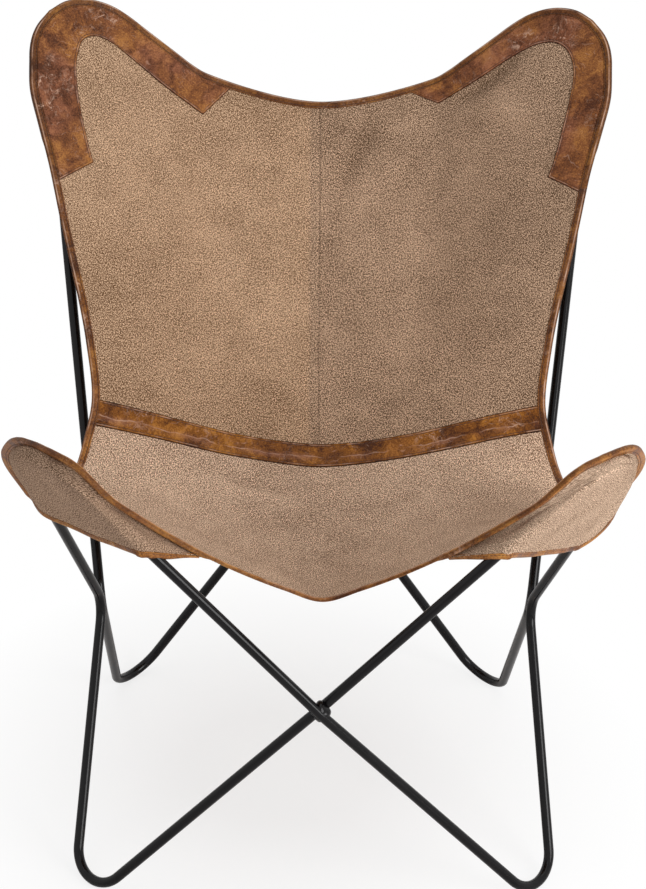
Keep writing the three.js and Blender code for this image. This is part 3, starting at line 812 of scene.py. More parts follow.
def leather_finish(name, dark, middle, light, shine, rosy=0.6, edged=False, rubbed_at=None):
    """Oiled leather: mottled, with fine pores, soft creases and rubbed pale marks.
    An edged piece is darker at its cut edge, has painted shade in its stitched groove and a
    painted highlight on its rim, and may be rubbed along a line. Otherwise the leather is
    folded, with painted shade in its groove, on its under side and towards the back of the
    chair, and a painted highlight along its fold."""
    made = Finish(name, specular_ior_level=0.14)
    dark, middle, light = paint(*dark), paint(*middle), paint(*light)
    place, cut = made.place(), made.cut()
    bent = made.wandering(place, 24.0, 3.0, (0.05, 0.05, 0.05))
    mottle = made.noise(bent, 38.0, 6.0, 0.68, 0.5)
    cloud = made.noise(place, 10.0)
    speck = made.noise(place, 480.0, 2.0, 0.7)
    pores = made.node("TexVoronoi", {"feature": "F1"}, {"Vector": place, "Scale": 900.0})
    cells = made.node(
        "TexVoronoi", {"feature": "DISTANCE_TO_EDGE"}, {"Vector": place, "Scale": 420.0})
    tone = 0.46 + (mottle - 0.5) * 2.5 + (cloud - 0.5) * 1.4 + (speck - 0.5) * 1.5
    colour = made.blend(made.span(tone, 0.0, 0.5), dark, middle)
    colour = made.blend(made.span(tone, 0.5, 1.0), colour, light)
    rosiness = made.span(made.noise(place, 12.0, 3.0, 0.6), 0.47, 0.62, 0.0, rosy)
    colour = made.blend(rosiness, colour, made.blend(made.span(tone, 0.1, 0.9), dark, ROSE))
    crease = 1 - made.span(abs(made.noise(bent, 40.0, 4.0, 0.6) - 0.5), 0.0, 0.02)
    patchy = made.patches(0.52, 0.64, place, 15.0)
    worn = made.patches(0.575, 0.66, bent, 95.0, 5.0, 0.7, 0.8) * patchy
    scratch = made.span(made.streaks(bent, (60.0, 60.0, 420.0), 3.0, 0.6), 0.63, 0.7)
    colour = made.blend(crease * patchy * 0.25 + worn * 0.72 + scratch * 0.22, colour, SCUFF_AND_HIGHLIGHT)
    if edged:
        rim = made.measure("edge_distance")
        # darker at the cut edge, with painted shade in the stitched groove
        shade = made.span(rim, 0.5, 1.7, 1.0, 0.0) + 0.7 * made.line_at(rim, *CUT_GROOVE)
        # painted highlight on the rounded rim
        painted_highlight = made.line_at(rim, *CUT_HIGHLIGHT) * made.patches(0.45, 0.7, place, 60.0, 3.0)
    else:
        girth = made.part(cut, 1) * METRE
        # painted shade in the stitched groove and on the under side of the fold
        shade = made.line_at(girth, *FOLD_GROOVE) * 1.2 + made.line_at(girth, *FOLD_UNDER) * 0.75
        # painted highlight along the outer edge of the fold
        painted_highlight = made.line_at(girth, *FOLD_HIGHLIGHT) * made.patches(0.36, 0.62, place, 42.0, 4.0)
        # painted shade: the folded leather is darker towards the back of the chair, at the ears
        colour = made.blend(
            made.span(made.part(place, 1), -0.1, 0.2) * 0.4, colour, dark, "MULTIPLY")
    if rubbed_at is not None:
        wavy = made.part(cut, 1) * -METRE + (made.noise(place, 26.0, 3.0, 0.6) - 0.5) * 16
        wide = made.line_at(wavy, rubbed_at, 6.5) * made.patches(0.42, 0.58, place, 17.0)
        thin = made.line_at(wavy, rubbed_at - 1.5, 1.0) * made.patches(0.42, 0.6, place, 33.0, 3.0)
        colour = made.blend(wide * 0.36, colour, made.blend(tone * 0.5, ROSE, SCUFF_AND_HIGHLIGHT))
        colour = made.blend(thin * 0.55, colour, SCUFF_AND_HIGHLIGHT)
    colour = made.blend(painted_highlight * 0.8, colour, SCUFF_AND_HIGHLIGHT)
    colour = made.blend(shade * 0.82, colour, dark, "MULTIPLY")
    roughness = made.span(mottle + worn * 0.3 - crease * 0.08, 0.3, 0.8, shine - 0.12, shine + 0.16)
    height = (
        made.span(cells, 0.0, 0.35) * 0.5 + pores * 0.25 - crease * 0.9 * patchy + speck * 0.3
        + mottle * 0.8
    )
    made.set(base_color=colour, roughness=roughness, normal=made.bump(height, 0.0005, 0.7))
    return made.material


def rod_finish(name):
    """Satin black paint with a slight orange-peel and dust."""
    made = Finish(name, metallic=0.0, specular_ior_level=0.2)
    peel = made.noise(made.place(), 620.0)
    dust = made.noise(made.place(), 70.0, 4.0, 0.65)
    made.set(
        base_color=made.blend(made.span(dust, 0.35, 0.8), paint(6, 5, 6), paint(16, 13, 15)),
        roughness=made.span(dust, 0.3, 0.75, 0.12, 0.24),
        normal=made.bump(peel, 0.00006, 0.5),
    )
    return made.material


def thread_finish(name):
    made = Finish(name, roughness=0.7)
    twist = made.node("TexWave", {"wave_type": "BANDS", "bands_direction": "DIAGONAL"}, {
        "Vector": made.place(), "Scale": 900.0, "Distortion": 1.0,
    })
    made.set(
        base_color=made.blend(twist, paint(52, 27, 16), paint(96, 58, 38)),
        normal=made.bump(twist, 0.0001, 0.6),
    )
    return made.material


# The back's right half takes darker copies of its colours, as painted shade
BACK = canvas_finish(
    "back_canvas", (96, 68, 44), (228, 190, 156), ((80, 58, 40), (218, 182, 152)))
SEAT = canvas_finish("seat_canvas", (108, 80, 60), (253, 218, 188))
# The left wing's pocket is a darker copy of the pocket cloth: painted shade
SHADED_POCKET = canvas_finish("pocket_canvas_painted_shade", (82, 58, 42), (212, 178, 150))
RIGHT_POCKET = canvas_finish("right_pocket_canvas", (100, 74, 54), (240, 208, 180))
POCKET_CLOTH = {"ear": (RIGHT_POCKET, RIGHT_POCKET), "wing": (SHADED_POCKET, RIGHT_POCKET)}
PATCH = leather_finish(
    "patch_leather", (74, 38, 18), (126, 76, 40), (172, 116, 60), 0.46, edged=True)
STRAP = leather_finish(
    "strap_leather", (66, 31, 6), (126, 74, 22), (176, 116, 44), 0.46, 0.15, edged=True,
    rubbed_at=21.0)
BINDING = leather_finish(
    "binding_leather", (84, 46, 20), (138, 86, 40), (184, 128, 64), 0.42, 0.35)
ROD_PAINT = rod_finish("satin_black_paint")
THREAD = thread_finish("brown_thread")


# Rods, as tubes along their bends


def rod(name, loop, node):
    bpy.ops.curve.primitive_bezier_circle_add()
    piece = bpy.context.object
    piece.name = name
    stops = []
    for index in range(len(loop)):
        places, travels = bend_at(loop, index, ROD_STEP)
        stops += list(zip(places, travels))
    piece.data.splines.clear()
    spline = piece.data.splines.new("BEZIER")
    spline.bezier_points.add(len(stops) - 1)
    spline.use_cyclic_u = True
    spline.resolution_u = 6
    for index, (place, travel) in enumerate(stops):
        point = spline.bezier_points[index]
        point.handle_left_type = point.handle_right_type = "FREE"
        before = np.linalg.norm(place - stops[index - 1][0]) / 3
        after = np.linalg.norm(stops[(index + 1) % len(stops)][0] - place) / 3
        point.co = to_metres(place)
        point.handle_left = to_metres(place - travel * before)
        point.handle_right = to_metres(place + travel * after)
    piece.data.dimensions = "3D"
    piece.data.twist_mode = "MINIMUM"
    piece.data.bevel_depth = ROD_RADIUS / METRE
    piece.data.bevel_resolution = 6
    choose(piece)
    bpy.ops.object.convert(target="MESH")
    finish_piece(bpy.context.object, ROD_PAINT, [node])


rod("front_rod", front_loop, "front_frame_loop")
rod("back_rod", back_loop, "back_frame_loop")


# Welds: a lumpy bead over the touching rods, drawn out into the angles between them.
# A ripple has its turns round the bead, its turns along it, its start and its height.

WELD_RIPPLES = [(9, 4, 0, 0.012), (3, 0, 1.3, 0.03)]
BUMP_WIDTH = 0.5
# Centre, half sizes, how far it is drawn out, and bumps as an angle and a height
WELDS = {
    "front_cross": ((0, *FRONT_CROSS), (11.2, 12.0, 12.2), 0.08, [(1.75, 0.07)]),
    "back_cross": ((0, *BACK_CROSS), (11.2, 12.0, 12.0), 0.08, [(1.3, 0.05)]),
}
for name, sign in SIDES:
    WELDS[f"{name}_side"] = (
        (sign * SIDE_JOINT[0], *SIDE_JOINT[1:]), (6.4, 6.6, 17), 0.05, [])

for name, (centre, half_sizes, drawn, bumps) in WELDS.items():
    piece = ball(
        64, 40, 1.0, bpy.ops.transform.resize, value=tuple(half / METRE for half in half_sizes))
    piece.name = f"{name}_bead"
    for vertex in piece.data.vertices:
        x, y, z = np.array(vertex.co) * METRE / np.array(half_sizes)
        angle, flat = math.atan2(z, x), math.hypot(x, z)
        ripple = 1 + drawn * math.cos(4 * angle) * flat**2
        for turns, along, start, height in WELD_RIPPLES:
            ripple += height * math.cos(turns * angle + along * y + start)
        for bump_angle, height in bumps:
            away = (angle - bump_angle + math.pi) % (2 * math.pi) - math.pi
            ripple += height * flat**2 * math.exp(-((away / BUMP_WIDTH) ** 2))
        vertex.co *= ripple
        vertex.co += Vector(to_metres(vec(*centre)).tolist())
    finish_piece(piece, ROD_PAINT, [f"{name}_weld"])


# The canvas, as one grid of close points that its panels share

COLUMNS = 201
BACK_ROWS = 141
SEAT_ROWS = 121
CENTRE = COLUMNS // 2
CREASE = BACK_ROWS - 1
CANVAS_RELAXED = 14


def relaxed(grid, passes):
    """Evens out the inside of a grid, and leaves its edges where they are."""
    grid = grid.copy()
    for _ in range(passes):
        inner = (grid[:-2, 1:-1] + grid[2:, 1:-1] + grid[1:-1, :-2] + grid[1:-1, 2:]) / 4
        grid[1:-1, 1:-1] = grid[1:-1, 1:-1] * 0.5 + inner * 0.5
    return grid


def waves(across, down, seed, count, shortest, longest):
    """Soft dents: a sum of broad waves in many directions, about 1 high."""
    maker = np.random.default_rng(seed)
    total = np.zeros_like(across)
    for _ in range(count):
        length = maker.uniform(shortest, longest)
        angle, phase = maker.uniform(0, math.pi), maker.uniform(0, 2 * math.pi)
        along = across * math.cos(angle) + down * math.sin(angle)
        total += np.sin(2 * math.pi / length * along + phase)
    return total / math.sqrt(count)


top, right, front, left = (border.part(index, CANVAS_INSET) for index in range(4))
canvas_grid = sling_grid(
    top, [Line(left.points[::-1]), right], Line(front.points[::-1]),
    COLUMNS, BACK_ROWS, SEAT_ROWS,
)
canvas_grid = relaxed(canvas_grid, CANVAS_RELAXED)


def runs_along(grid, axis, start):
    """Distance along each row or column of a grid, from one of its points."""
    steps = np.linalg.norm(np.diff(grid, axis=axis), axis=2)
    shape = list(steps.shape)
    shape[axis] = 1
    total = np.concatenate([np.zeros(shape), np.cumsum(steps, axis)], axis)
    return total - np.take(total, [start], axis)


# Soft dents in the cloth: from and to, measured over it from the middle of the crease,
# then how wide and how deep. A raised place has a depth below 0.
DENTS = [
    ((200, -486), (300, -526), 12, 5.5),
    ((240, -466), (304, -434), 17, -3.0),
    ((28, -376), (72, -474), 13, 3.8),
    ((120, -392), (134, -420), 15, 2.4),
    ((-20, -60), (-120, -100), 16, 1.2),
    ((60, -50), (150, -95), 14, 1.4),
    ((-160, -360), (-90, -300), 20, 1.6),
    ((-40, 62), (-150, 44), 8, 1.8),
    ((-10, 84), (-120, 72), 7, -1.8),
    ((30, 96), (130, 84), 8, 1.6),
]
# Broad waves over all of the cloth: seed, number, shortest and longest, then their height
CANVAS_WAVES = (3, 12, 70, 190)
WAVE_HEIGHT = 0.8
# Folds across the seat: pitch, bend, start and height, then where they fade out
FOLD_PITCH, FOLD_BEND, FOLD_START, FOLD_HEIGHT = 34, 0.0004, 1.0, 1.1
FOLD_MIDDLE, FOLD_LENGTH, FOLD_WIDTH = 118, 42, 170
# Rows over which the cloth gets free to dent, from its top edge and its front edge
FREE_TOP, FREE_FRONT = 14, 10
SEAM = 0.02
# How deep a dent is at its ends, and how much deeper between them
DENT_END, DENT_BETWEEN = 0.35, 2.6

across_runs = runs_along(canvas_grid, 1, CENTRE)
down_runs = runs_along(canvas_grid, 0, CREASE)
u = np.linspace(-1, 1, COLUMNS)[None]
rows = np.arange(len(canvas_grid))[:, None]
free = np.clip((1 - u**2) * 4, 0, 1) * (
    np.clip(rows / FREE_TOP, 0, 1) * np.clip((len(rows) - 1 - rows) / FREE_FRONT, 0, 1))
dents = waves(across_runs, down_runs, *CANVAS_WAVES) * WAVE_HEIGHT
sunk = np.zeros_like(dents)
for start, end, width, depth in DENTS:
    start, end = vec(*start), vec(*end)
    way = end - start
    spot = np.stack([across_runs, down_runs], -1) - start
    share = np.clip(spot @ way / (way @ way), 0, 1)
    gap = np.linalg.norm(spot - share[..., None] * way, axis=-1)
    sunk += depth * np.exp(-((gap / width) ** 2)) * (
        DENT_END + DENT_BETWEEN * share * (1 - share))
bent_runs = down_runs + across_runs * across_runs * FOLD_BEND
folds = (
    np.sin(2 * math.pi * bent_runs / FOLD_PITCH + FOLD_START)
    * np.exp(-((down_runs - FOLD_MIDDLE) / FOLD_LENGTH) ** 2)
    * np.exp(-((across_runs / FOLD_WIDTH) ** 2))
)
raised = (dents - sunk + folds * FOLD_HEIGHT) * free
canvas_grid = canvas_grid + facing(canvas_grid) * raised[..., None]
cut_marks = np.stack([across_runs, -down_runs], -1)


def grid_faces(rows, columns):
    number = np.arange(rows * columns).reshape(rows, columns)
    quads = [number[:-1, :-1], number[1:, :-1], number[1:, 1:], number[:-1, 1:]]
    return np.stack(quads, -1).reshape(-1, 4)


def cloth_piece(name, grid, marks, material, slot, node, loop, **measures):
    """A sheet of canvas over a grid, stretched on one of the rods. The rod that it is given is not
    used.
    """
    piece = mesh_piece(name, grid, grid_faces(*grid.shape[:2]), marks, **measures)
    thick = piece.modifiers.new("thickness", "SOLIDIFY")
    thick.thickness = CANVAS / METRE
    thick.offset = 0
    choose(piece)
    bpy.ops.object.modifier_apply(modifier=thick.name)
    finish_piece(piece, material, [node])


def apart(grid, axis, side):
    """Draws one edge of a panel back by half a seam."""
    grid = grid.copy()
    edge = [slice(None)] * 3
    edge[axis] = side
    beside = list(edge)
    beside[axis] = 1 if side == 0 else -2
    way = unit(grid[tuple(beside)] - grid[tuple(edge)])
    grid[tuple(edge)] += way * SEAM / 2
    return grid


# Rows and columns of each panel, and its edges at a seam as an axis and a side
UPPER, LOWER, WHOLE = slice(CREASE + 1), slice(CREASE, None), slice(None)
LEFT_HALF, RIGHT_HALF = slice(CENTRE + 1), slice(CENTRE, None)
PANELS = [
    ("back_canvas_left", UPPER, LEFT_HALF, [(1, -1), (0, -1)], BACK, "canvas_warm",
     "back_panel_left", "back"),
    ("back_canvas_right", UPPER, RIGHT_HALF, [(1, 0), (0, -1)], BACK, "canvas_grey",
     "back_panel_right", "back"),
    ("seat_canvas", LOWER, WHOLE, [(0, 0)], SEAT, "canvas_seat", "seat_panel", "front"),
]
# Each panel keeps how far its cloth is sunk, which its finish darkens as painted shade
for name, rows, columns, seams, *rest in PANELS:
    panel = canvas_grid[rows, columns]
    for axis, side in seams:
        panel = apart(panel, axis, side)
    cloth_piece(name, panel, cut_marks[rows, columns], *rest, sunk=sunk[rows, columns])


# Things that lie on the canvas

canvas_tree = BVHTree.FromPolygons(
    [Vector(point) for point in canvas_grid.reshape(-1, 3)],
    grid_faces(*canvas_grid.shape[:2]).tolist(),
)


def on_canvas(points):
    """The nearest places on the canvas."""
    found = [canvas_tree.find_nearest(Vector(point))[0] for point in points.reshape(-1, 3)]
    return np.array([tuple(place) for place in found]).reshape(points.shape)


def grid_at(grid, rows, columns):
    """Places between a grid's points."""
    low_row = np.clip(np.floor(rows).astype(int), 0, grid.shape[0] - 2)
    low_column = np.clip(np.floor(columns).astype(int), 0, grid.shape[1] - 2)
    r, c = (rows - low_row)[..., None], (columns - low_column)[..., None]
    return (
        grid[low_row, low_column] * (1 - r) * (1 - c)
        + grid[low_row + 1, low_column] * r * (1 - c)
        + grid[low_row, low_column + 1] * (1 - r) * c
        + grid[low_row + 1, low_column + 1] * r * c
    )


LEATHER = 1.3
LEATHER_LIFT = CANVAS / 2 + 0.12
BINDING_REACH = 10.2
# A leather edge from its cut side: how thick it starts, how soon it is full, then its groove
EDGE_START, EDGE_ROLL = 0.35, 1.8
GROOVE, GROOVE_WIDTH, GROOVE_DEPTH = 3.6, 0.8, 0.4
EDGE_STEPS = [0, 0.25, 0.6, 1.1, 1.8, 2.6, 3.1, GROOVE, 4.1, 4.8]
GROOVE_ROW = EDGE_STEPS.index(GROOVE)
EDGE_END = 6.2


def rolled(distance):
    """Height of a leather edge that is turned under and stitched, by distance from it."""
    roll = np.sqrt(np.clip(1 - (1 - np.clip(distance / EDGE_ROLL, 0, 1)) ** 2, 0, 1))
    groove = np.exp(-(((distance - GROOVE) / GROOVE_WIDTH) ** 2))
    return EDGE_START + (LEATHER - EDGE_START) * roll - GROOVE_DEPTH * groove


GROOVE_HEIGHT = LEATHER_LIFT + rolled(GROOVE)
SEAM_LINES = {}


def seam_line(name, grid, row, left_out):
    """Keeps the line of a groove in a piece of leather for its stitches."""
    out = facing(grid)[row, left_out:-left_out]
    SEAM_LINES[name] = (grid[row, left_out:-left_out] + out * GROOVE_HEIGHT, out)


def leather_over(name, grid, edge_distance, marks, material, node):
    """Leather over the canvas: its face, its edge, and its back on the cloth."""
    out = facing(grid)
    top = grid + out * (LEATHER_LIFT + rolled(edge_distance))[..., None]
    under = grid + out * LEATHER_LIFT
    rows, columns = grid.shape[:2]
    count = rows * columns
    faces = grid_faces(rows, columns)
    number = np.arange(count).reshape(rows, columns)
    rim = np.concatenate([number[0], number[1:, -1], number[-1, -2::-1], number[-2:0:-1, 0]])
    following = np.roll(rim, -1)
    sides = np.stack([rim, following, following + count, rim + count], -1)
    piece = mesh_piece(
        name, np.stack([top, under]), [*faces, *(faces[:, ::-1] + count), *sides],
        np.stack([marks, marks]),
        edge_distance=np.stack([edge_distance, np.zeros_like(edge_distance)]),
    )
    finish_piece(piece, material, [node], smooth_angle=50)


def edge_steps(width, inner=10):
    """Distances across a strip, close together at its stitched edges."""
    middle = np.linspace(EDGE_END, width - EDGE_END, inner)
    return np.array([*EDGE_STEPS, *middle, *[width - step for step in reversed(EDGE_STEPS)]])


STRAP_WIDTH = 34
STRAP_COLUMNS = 221
STRAP_GAP = 0.3
strap_steps = edge_steps(STRAP_WIDTH)
end = (BINDING_REACH - CANVAS_INSET + STRAP_GAP) / across_runs[CREASE, -1] * CENTRE
columns = np.linspace(end, COLUMNS - 1 - end, STRAP_COLUMNS)
strap_rows = np.stack([
    np.interp(strap_steps - STRAP_WIDTH / 2, down_runs[:, int(round(column))],
              np.arange(len(canvas_grid)))
    for column in columns
], 1)
columns = np.broadcast_to(columns, strap_rows.shape)
strap_points = grid_at(canvas_grid, strap_rows, columns)
strap_down = np.broadcast_to(strap_steps[:, None], strap_rows.shape)
strap_across = grid_at(across_runs[..., None], strap_rows, columns)[..., 0]
leather_over(
    "waist_strap", strap_points, np.minimum(strap_down, STRAP_WIDTH - strap_down),
    np.stack([strap_across, -strap_down], -1), STRAP, "lumbar_strap",
)
seam_line("strap_upper", strap_points, GROOVE_ROW, 2)
seam_line("strap_lower", strap_points, -1 - GROOVE_ROW, 2)


# Ear patches: bands of leather from the binding to a rounded inner edge, which is
# given as shares of the ear's loop along its outer rod and inward

PATCH_INNER = {
    "left": [
        (1.56, 2.47), (1.06, 1.8), (0.68, 1.35), (0.42, 1.01), (0.335, 0.73), (0.41, 0.535),
        (0.7, 0.405), (1.1, 0.365), (1.54, 0.385), (1.98, 0.44), (2.37, 0.5),
    ],
    "right": [
        (1.28, 2.49), (0.95, 1.96), (0.5, 1.29), (0.345, 0.955), (0.3, 0.66), (0.385, 0.45),
        (0.58, 0.305), (0.85, 0.24), (1.235, 0.26), (1.7, 0.32), (2.08, 0.375), (2.5, 0.45),
    ],
}
# From and to along the border, and how far from the binding
PATCH_GAP = 0.2
PATCH_RUNS = {"left": (290, -242), "right": (535, 1071)}
PATCH_COLUMNS = 161
# A patch is laid out as if this wide, and its middle is then spread to its real width
PATCH_WIDTH = 40
PATCH_EDGE = 5

for plane, (name, _) in zip(EAR_PLANES, SIDES):
    along = np.linspace(0, 1, PATCH_COLUMNS)
    start, end = PATCH_RUNS[name]
    outer = border.at(start + (end - start) * along, BINDING_REACH + PATCH_GAP)
    inner = smooth(laid_out(plane, PATCH_INNER[name], EAR_LOOP)).at(along)
    width = np.linalg.norm(inner - outer, axis=1)
    steps = edge_steps(PATCH_WIDTH, 12)
    far = steps > PATCH_WIDTH / 2
    shares = np.where(far[:, None], 1 - (PATCH_WIDTH - steps)[:, None] / width,
                      steps[:, None] / width)
    middle = (steps > PATCH_EDGE) & (steps < PATCH_WIDTH - PATCH_EDGE)
    low, high = shares[~middle & ~far].max(0), shares[~middle & far].min(0)
    spread = np.linspace(0, 1, middle.sum() + 2)[1:-1]
    shares[middle] = low + (high - low) * spread[:, None]
    band = on_canvas(mixed(outer[None], inner[None], shares))
    ends = np.minimum(runs_along(band, 1, 0), -runs_along(band, 1, PATCH_COLUMNS - 1))
    edge = np.minimum((1 - shares) * width, ends)
    along = np.broadcast_to(along * abs(end - start), shares.shape)
    marks = np.stack([along, shares * width], -1)
    if np.dot(facing(band)[len(steps) // 2, PATCH_COLUMNS // 2], plane["front"]) < 0:
        band, edge, marks = band[:, ::-1], edge[:, ::-1], marks[:, ::-1]
    leather_over(
        f"ear_leather_{name}", band, edge, marks, PATCH, f"ear_patch_{name}",
    )
    seam_line(f"ear_leather_{name}", band, -1 - GROOVE_ROW, 3)


# Bindings: leather folded round the cloth's edge, fuller on the side that is seen.
# Each profile goes round the leather as (inward, out) from the edge of the outline.

FOLD = [
    (10.2, 0.95), (10.15, 1.8), (9.8, 2.15), (9.0, 2.2), (8.3, 1.9), (7.8, 1.8), (7.3, 2.1),
    (6.4, 2.7), (5.0, 3.15), (3.6, 3.2), (2.2, 2.85), (1.0, 2.1), (0.25, 1.1), (0.0, 0.0),
    (0.25, -0.9), (0.9, -1.4), (2.2, -1.65), (4.6, -1.7), (6.4, -1.6), (7.0, -1.45),
    (7.6, -1.6), (9.0, -1.7), (10.0, -1.6), (10.3, -1.3), (10.2, -0.95), (7.0, -0.95),
    (3.2, -0.95), (1.7, -0.5), (1.3, 0.2), (1.8, 0.8), (3.2, 0.98), (7.0, 0.95),
]
UNDER_FOLD_DEPTH = 2.15
MOUTH_FOLD = [
    (0.0, 0.95), (0.05, 1.6), (0.5, 1.85), (1.6, 1.75), (2.4, 1.6), (3.4, 2.0), (5.0, 2.25),
    (6.6, 2.1), (8.0, 1.5), (8.8, 0.6), (9.0, -0.3), (8.7, -1.4), (7.8, -2.4), (6.2, -3.0),
    (4.6, -2.9), (3.2, -2.3), (2.2, -1.65), (1.4, -1.75), (0.5, -1.8), (0.05, -1.6),
    (0.0, -0.95), (5.0, -0.95), (6.6, -0.6), (7.0, 0.0), (6.6, 0.6), (5.0, 0.95),
]
# A profile is the puffed face where it is higher than the first, and the under side where
# it is lower than the second. A pocket that is sewn into the fold lowers the under side.
FACE_HEIGHT = 1.2
UNDER_HEIGHT = -0.4


def swept(name, places, inward, out, profile, node, fullness=1.0, depth=0.0, width=1.0):
    """A profile of leather carried along a line and closed at both ends."""
    profile = np.array(profile)
    count, around = len(places), len(profile)
    full, depth, width = (
        np.broadcast_to(values, count)[:, None] for values in (fullness, depth, width))
    across, height = profile[None, :, 0] * width, profile[None, :, 1]
    lowered = np.where(height < UNDER_HEIGHT, depth, 0.0)
    height = height * np.where(height > FACE_HEIGHT, full, 1.0) - lowered
    points = (
        places[:, None]
        + inward[:, None] * across[..., None]
        + out[:, None] * height[..., None]
    )
    number = np.arange(count * around).reshape(count, around)
    following = np.roll(number, -1, 1)
    sides = np.stack([number[:-1], following[:-1], following[1:], number[1:]], -1).reshape(-1, 4)
    marks = np.stack(np.broadcast_arrays(runs_of(places)[:, None], runs_of(profile)[None]), -1)
    piece = mesh_piece(name, points, [*sides, number[0][::-1], number[-1]], marks)
    edit_all(piece, bpy.ops.mesh.normals_make_consistent, inside=False)
    finish_piece(piece, BINDING, [node], smooth_angle=60)


EDGES = [
    ("top_edge_binding", "top_binding", 0),
    ("right_edge_binding", "side_binding_right", 1),
    ("front_edge_binding", "front_binding", 2),
    ("left_edge_binding", "side_binding_left", 3),
]
BINDING_STEP = 3.0
BINDING_GAP = 0.1
POCKET_EASE = 14
PUFF_STEP = 9.0
PUFF_SPREAD = 0.035
PUFF_SEED = 20


def in_pocket(runs):
    """1 where a pocket is sewn into the border's fold, 0 on its free edges."""
    share = np.zeros(len(runs))
    for kind in TIPS:
        for index in range(2):
            low, high = sorted(mouth_runs(kind, index))
            for lap in (-border.length, 0, border.length):
                entered = eased(low - POCKET_EASE, low, runs + lap)
                share += entered * (1 - eased(high, high + POCKET_EASE, runs + lap))
    return np.clip(share, 0, 1)


for name, node, part in EDGES:
    low, high = border.starts[part] + BINDING_GAP, border.starts[part + 1] - BINDING_GAP
    runs = np.linspace(low, high, int((high - low) / BINDING_STEP))
    knots = np.arange(low - PUFF_STEP, high + PUFF_STEP, PUFF_STEP)
    maker = np.random.default_rng(PUFF_SEED + part)
    inward, out = (unit(border.read(way, runs)) for way in (border.inward, border.out))
    swept(
        name, border.at(runs), inward, out, FOLD, node,
        fullness=np.interp(runs, knots, maker.normal(1.0, PUFF_SPREAD, len(knots))),
        depth=UNDER_FOLD_DEPTH * in_pocket(runs),
    )


# Pockets: a sheet sewn along the outline that wraps round the outside of the rod

POCKET_ROWS = 36
FOLD_ROWS = 3
WRAP_ROWS = 11
MOUTH_ROWS = 16
RIM_INSET = 3.0
RIM_DEPTH = 1.9
FREE_GAP = CANVAS / 2 + 1.5
MOUTH_GAP = 2.6
MOUTH_TAPER = 0.16
MOUTH_EVENED = 6
# How far the cloth puffs out and down between the border and the rod, before a pocket's
# own puff, and over which shares of the way round that one grows
POCKET_PUFF = (1.4, 2.2)
OWN_PUFF = (0.5, 1.0)
# How far inward of the binding and below the fold the cloth comes out
LEAF_GAP = (0.6, 0.1)


def clear_of_rod(grid, places, gap_wanted):
    """Moves a sheet's places out of the rod, straight away from its middle line."""
    line = Line(places)
    middle = line.at(np.linspace(0, 1, int(line.length / 2)))
    flat = grid.reshape(-1, 3)
    gaps = np.linalg.norm(flat[:, None] - middle[None], axis=2)
    nearest = middle[gaps.argmin(1)]
    away = flat - nearest
    gap = np.linalg.norm(away, axis=1)
    short = np.maximum(ROD_RADIUS + np.broadcast_to(gap_wanted, grid.shape[:2]).ravel() - gap, 0)
    return (flat + unit(away) * short[:, None]).reshape(grid.shape)


def pocket_grid(plane, runs, around, bow, puff, side_way):
    """Rows of points from the tip of the pocket to its mouth. The cloth puffs out, and
    down, more towards the side edge of the sling."""
    shares = np.linspace(0, 1, EDGE_POINTS)
    runs = runs[0] + (runs[1] - runs[0]) * shares
    ring = Line(around).at(shares)
    rim = border.at(runs, RIM_INSET, -RIM_DEPTH)
    leaves = border.at(runs, BINDING_REACH + LEAF_GAP[0], -RIM_DEPTH - LEAF_GAP[1])
    outward = rim - leaves
    outward = unit(outward - (outward @ plane["front"])[:, None] * plane["front"])
    inner = POCKET_ROWS - WRAP_ROWS
    to_side = eased(*OWN_PUFF, shares)[:, None] * side_way
    layers = []
    for layer in range(WRAP_ROWS + 1):
        if layer <= FOLD_ROWS:
            line = mixed(rim, leaves, np.full(len(rim), layer / FOLD_ROWS))
        else:
            s = (layer - FOLD_ROWS) / (WRAP_ROWS - FOLD_ROWS)
            bulge = 4 * s * (1 - s) * (1 - s)
            out, down = (least + own * to_side for least, own in zip(POCKET_PUFF, puff))
            line = leaves * (1 - s) + ring * s + outward * bulge * out
            line = line - plane["front"] * bulge * down
        layers.append(Line(line).at(np.linspace(0, 1, 4 * (POCKET_ROWS - layer) + 1)))
    last = layers[-1]
    u = np.linspace(0, 1, 2 * inner + 1)[:, None]
    flat = stretched(
        last[inner : 3 * inner + 1],
        bowed(last[0], last[-1], bow, plane, u),
        last[inner::-1],
        last[3 * inner :],
    )
    columns = 2 * POCKET_ROWS
    grid = np.empty((POCKET_ROWS + 1, columns + 1, 3))
    for row in range(POCKET_ROWS + 1):
        for column in range(columns + 1):
            layer = min(row, column, columns - column)
            if layer >= WRAP_ROWS:
                grid[row, column] = flat[row - WRAP_ROWS, column - WRAP_ROWS]
                continue
            line, corner = layers[layer], POCKET_ROWS - layer
            if row == layer:
                grid[row, column] = line[corner + column - layer]
            elif column == layer:
                grid[row, column] = line[corner - row + layer]
            else:
                grid[row, column] = line[3 * corner + row - layer]
    return grid


def finer(grid):
    """The same sheet with a place between every two."""
    for _ in range(2):
        between = (grid[1:] + grid[:-1]) / 2
        rows = np.empty((2 * len(grid) - 1, *grid.shape[1:]))
        rows[::2], rows[1::2] = grid, between
        grid = rows.swapaxes(0, 1)
    return grid


POCKET_RELAXED = 8
# Small waves in a pocket's cloth: number, shortest and longest, then height and highest rise
PUCKERS = (8, 45, 120)
PUCKER_SEED = 50
PUCKER_HEIGHT, PUCKER_TOP = 0.7, 0.2
# Where the waves fade out, as shares of the way from the middle to the side
PUCKER_SIDE = (0.75, 0.93)
# Rows before the mouth over which the gap to the rod changes to the mouth's
MOUTH_GAP_ROWS = (-5, -1)
EVENED_PASSES = 10
MOUTH_WAY_ROWS = slice(-9, -3)
MOUTH_WAY_EVENED = 70
TAIL = np.array([2.0, 4.0, 6.0])
MOUTH_COLUMNS = 150
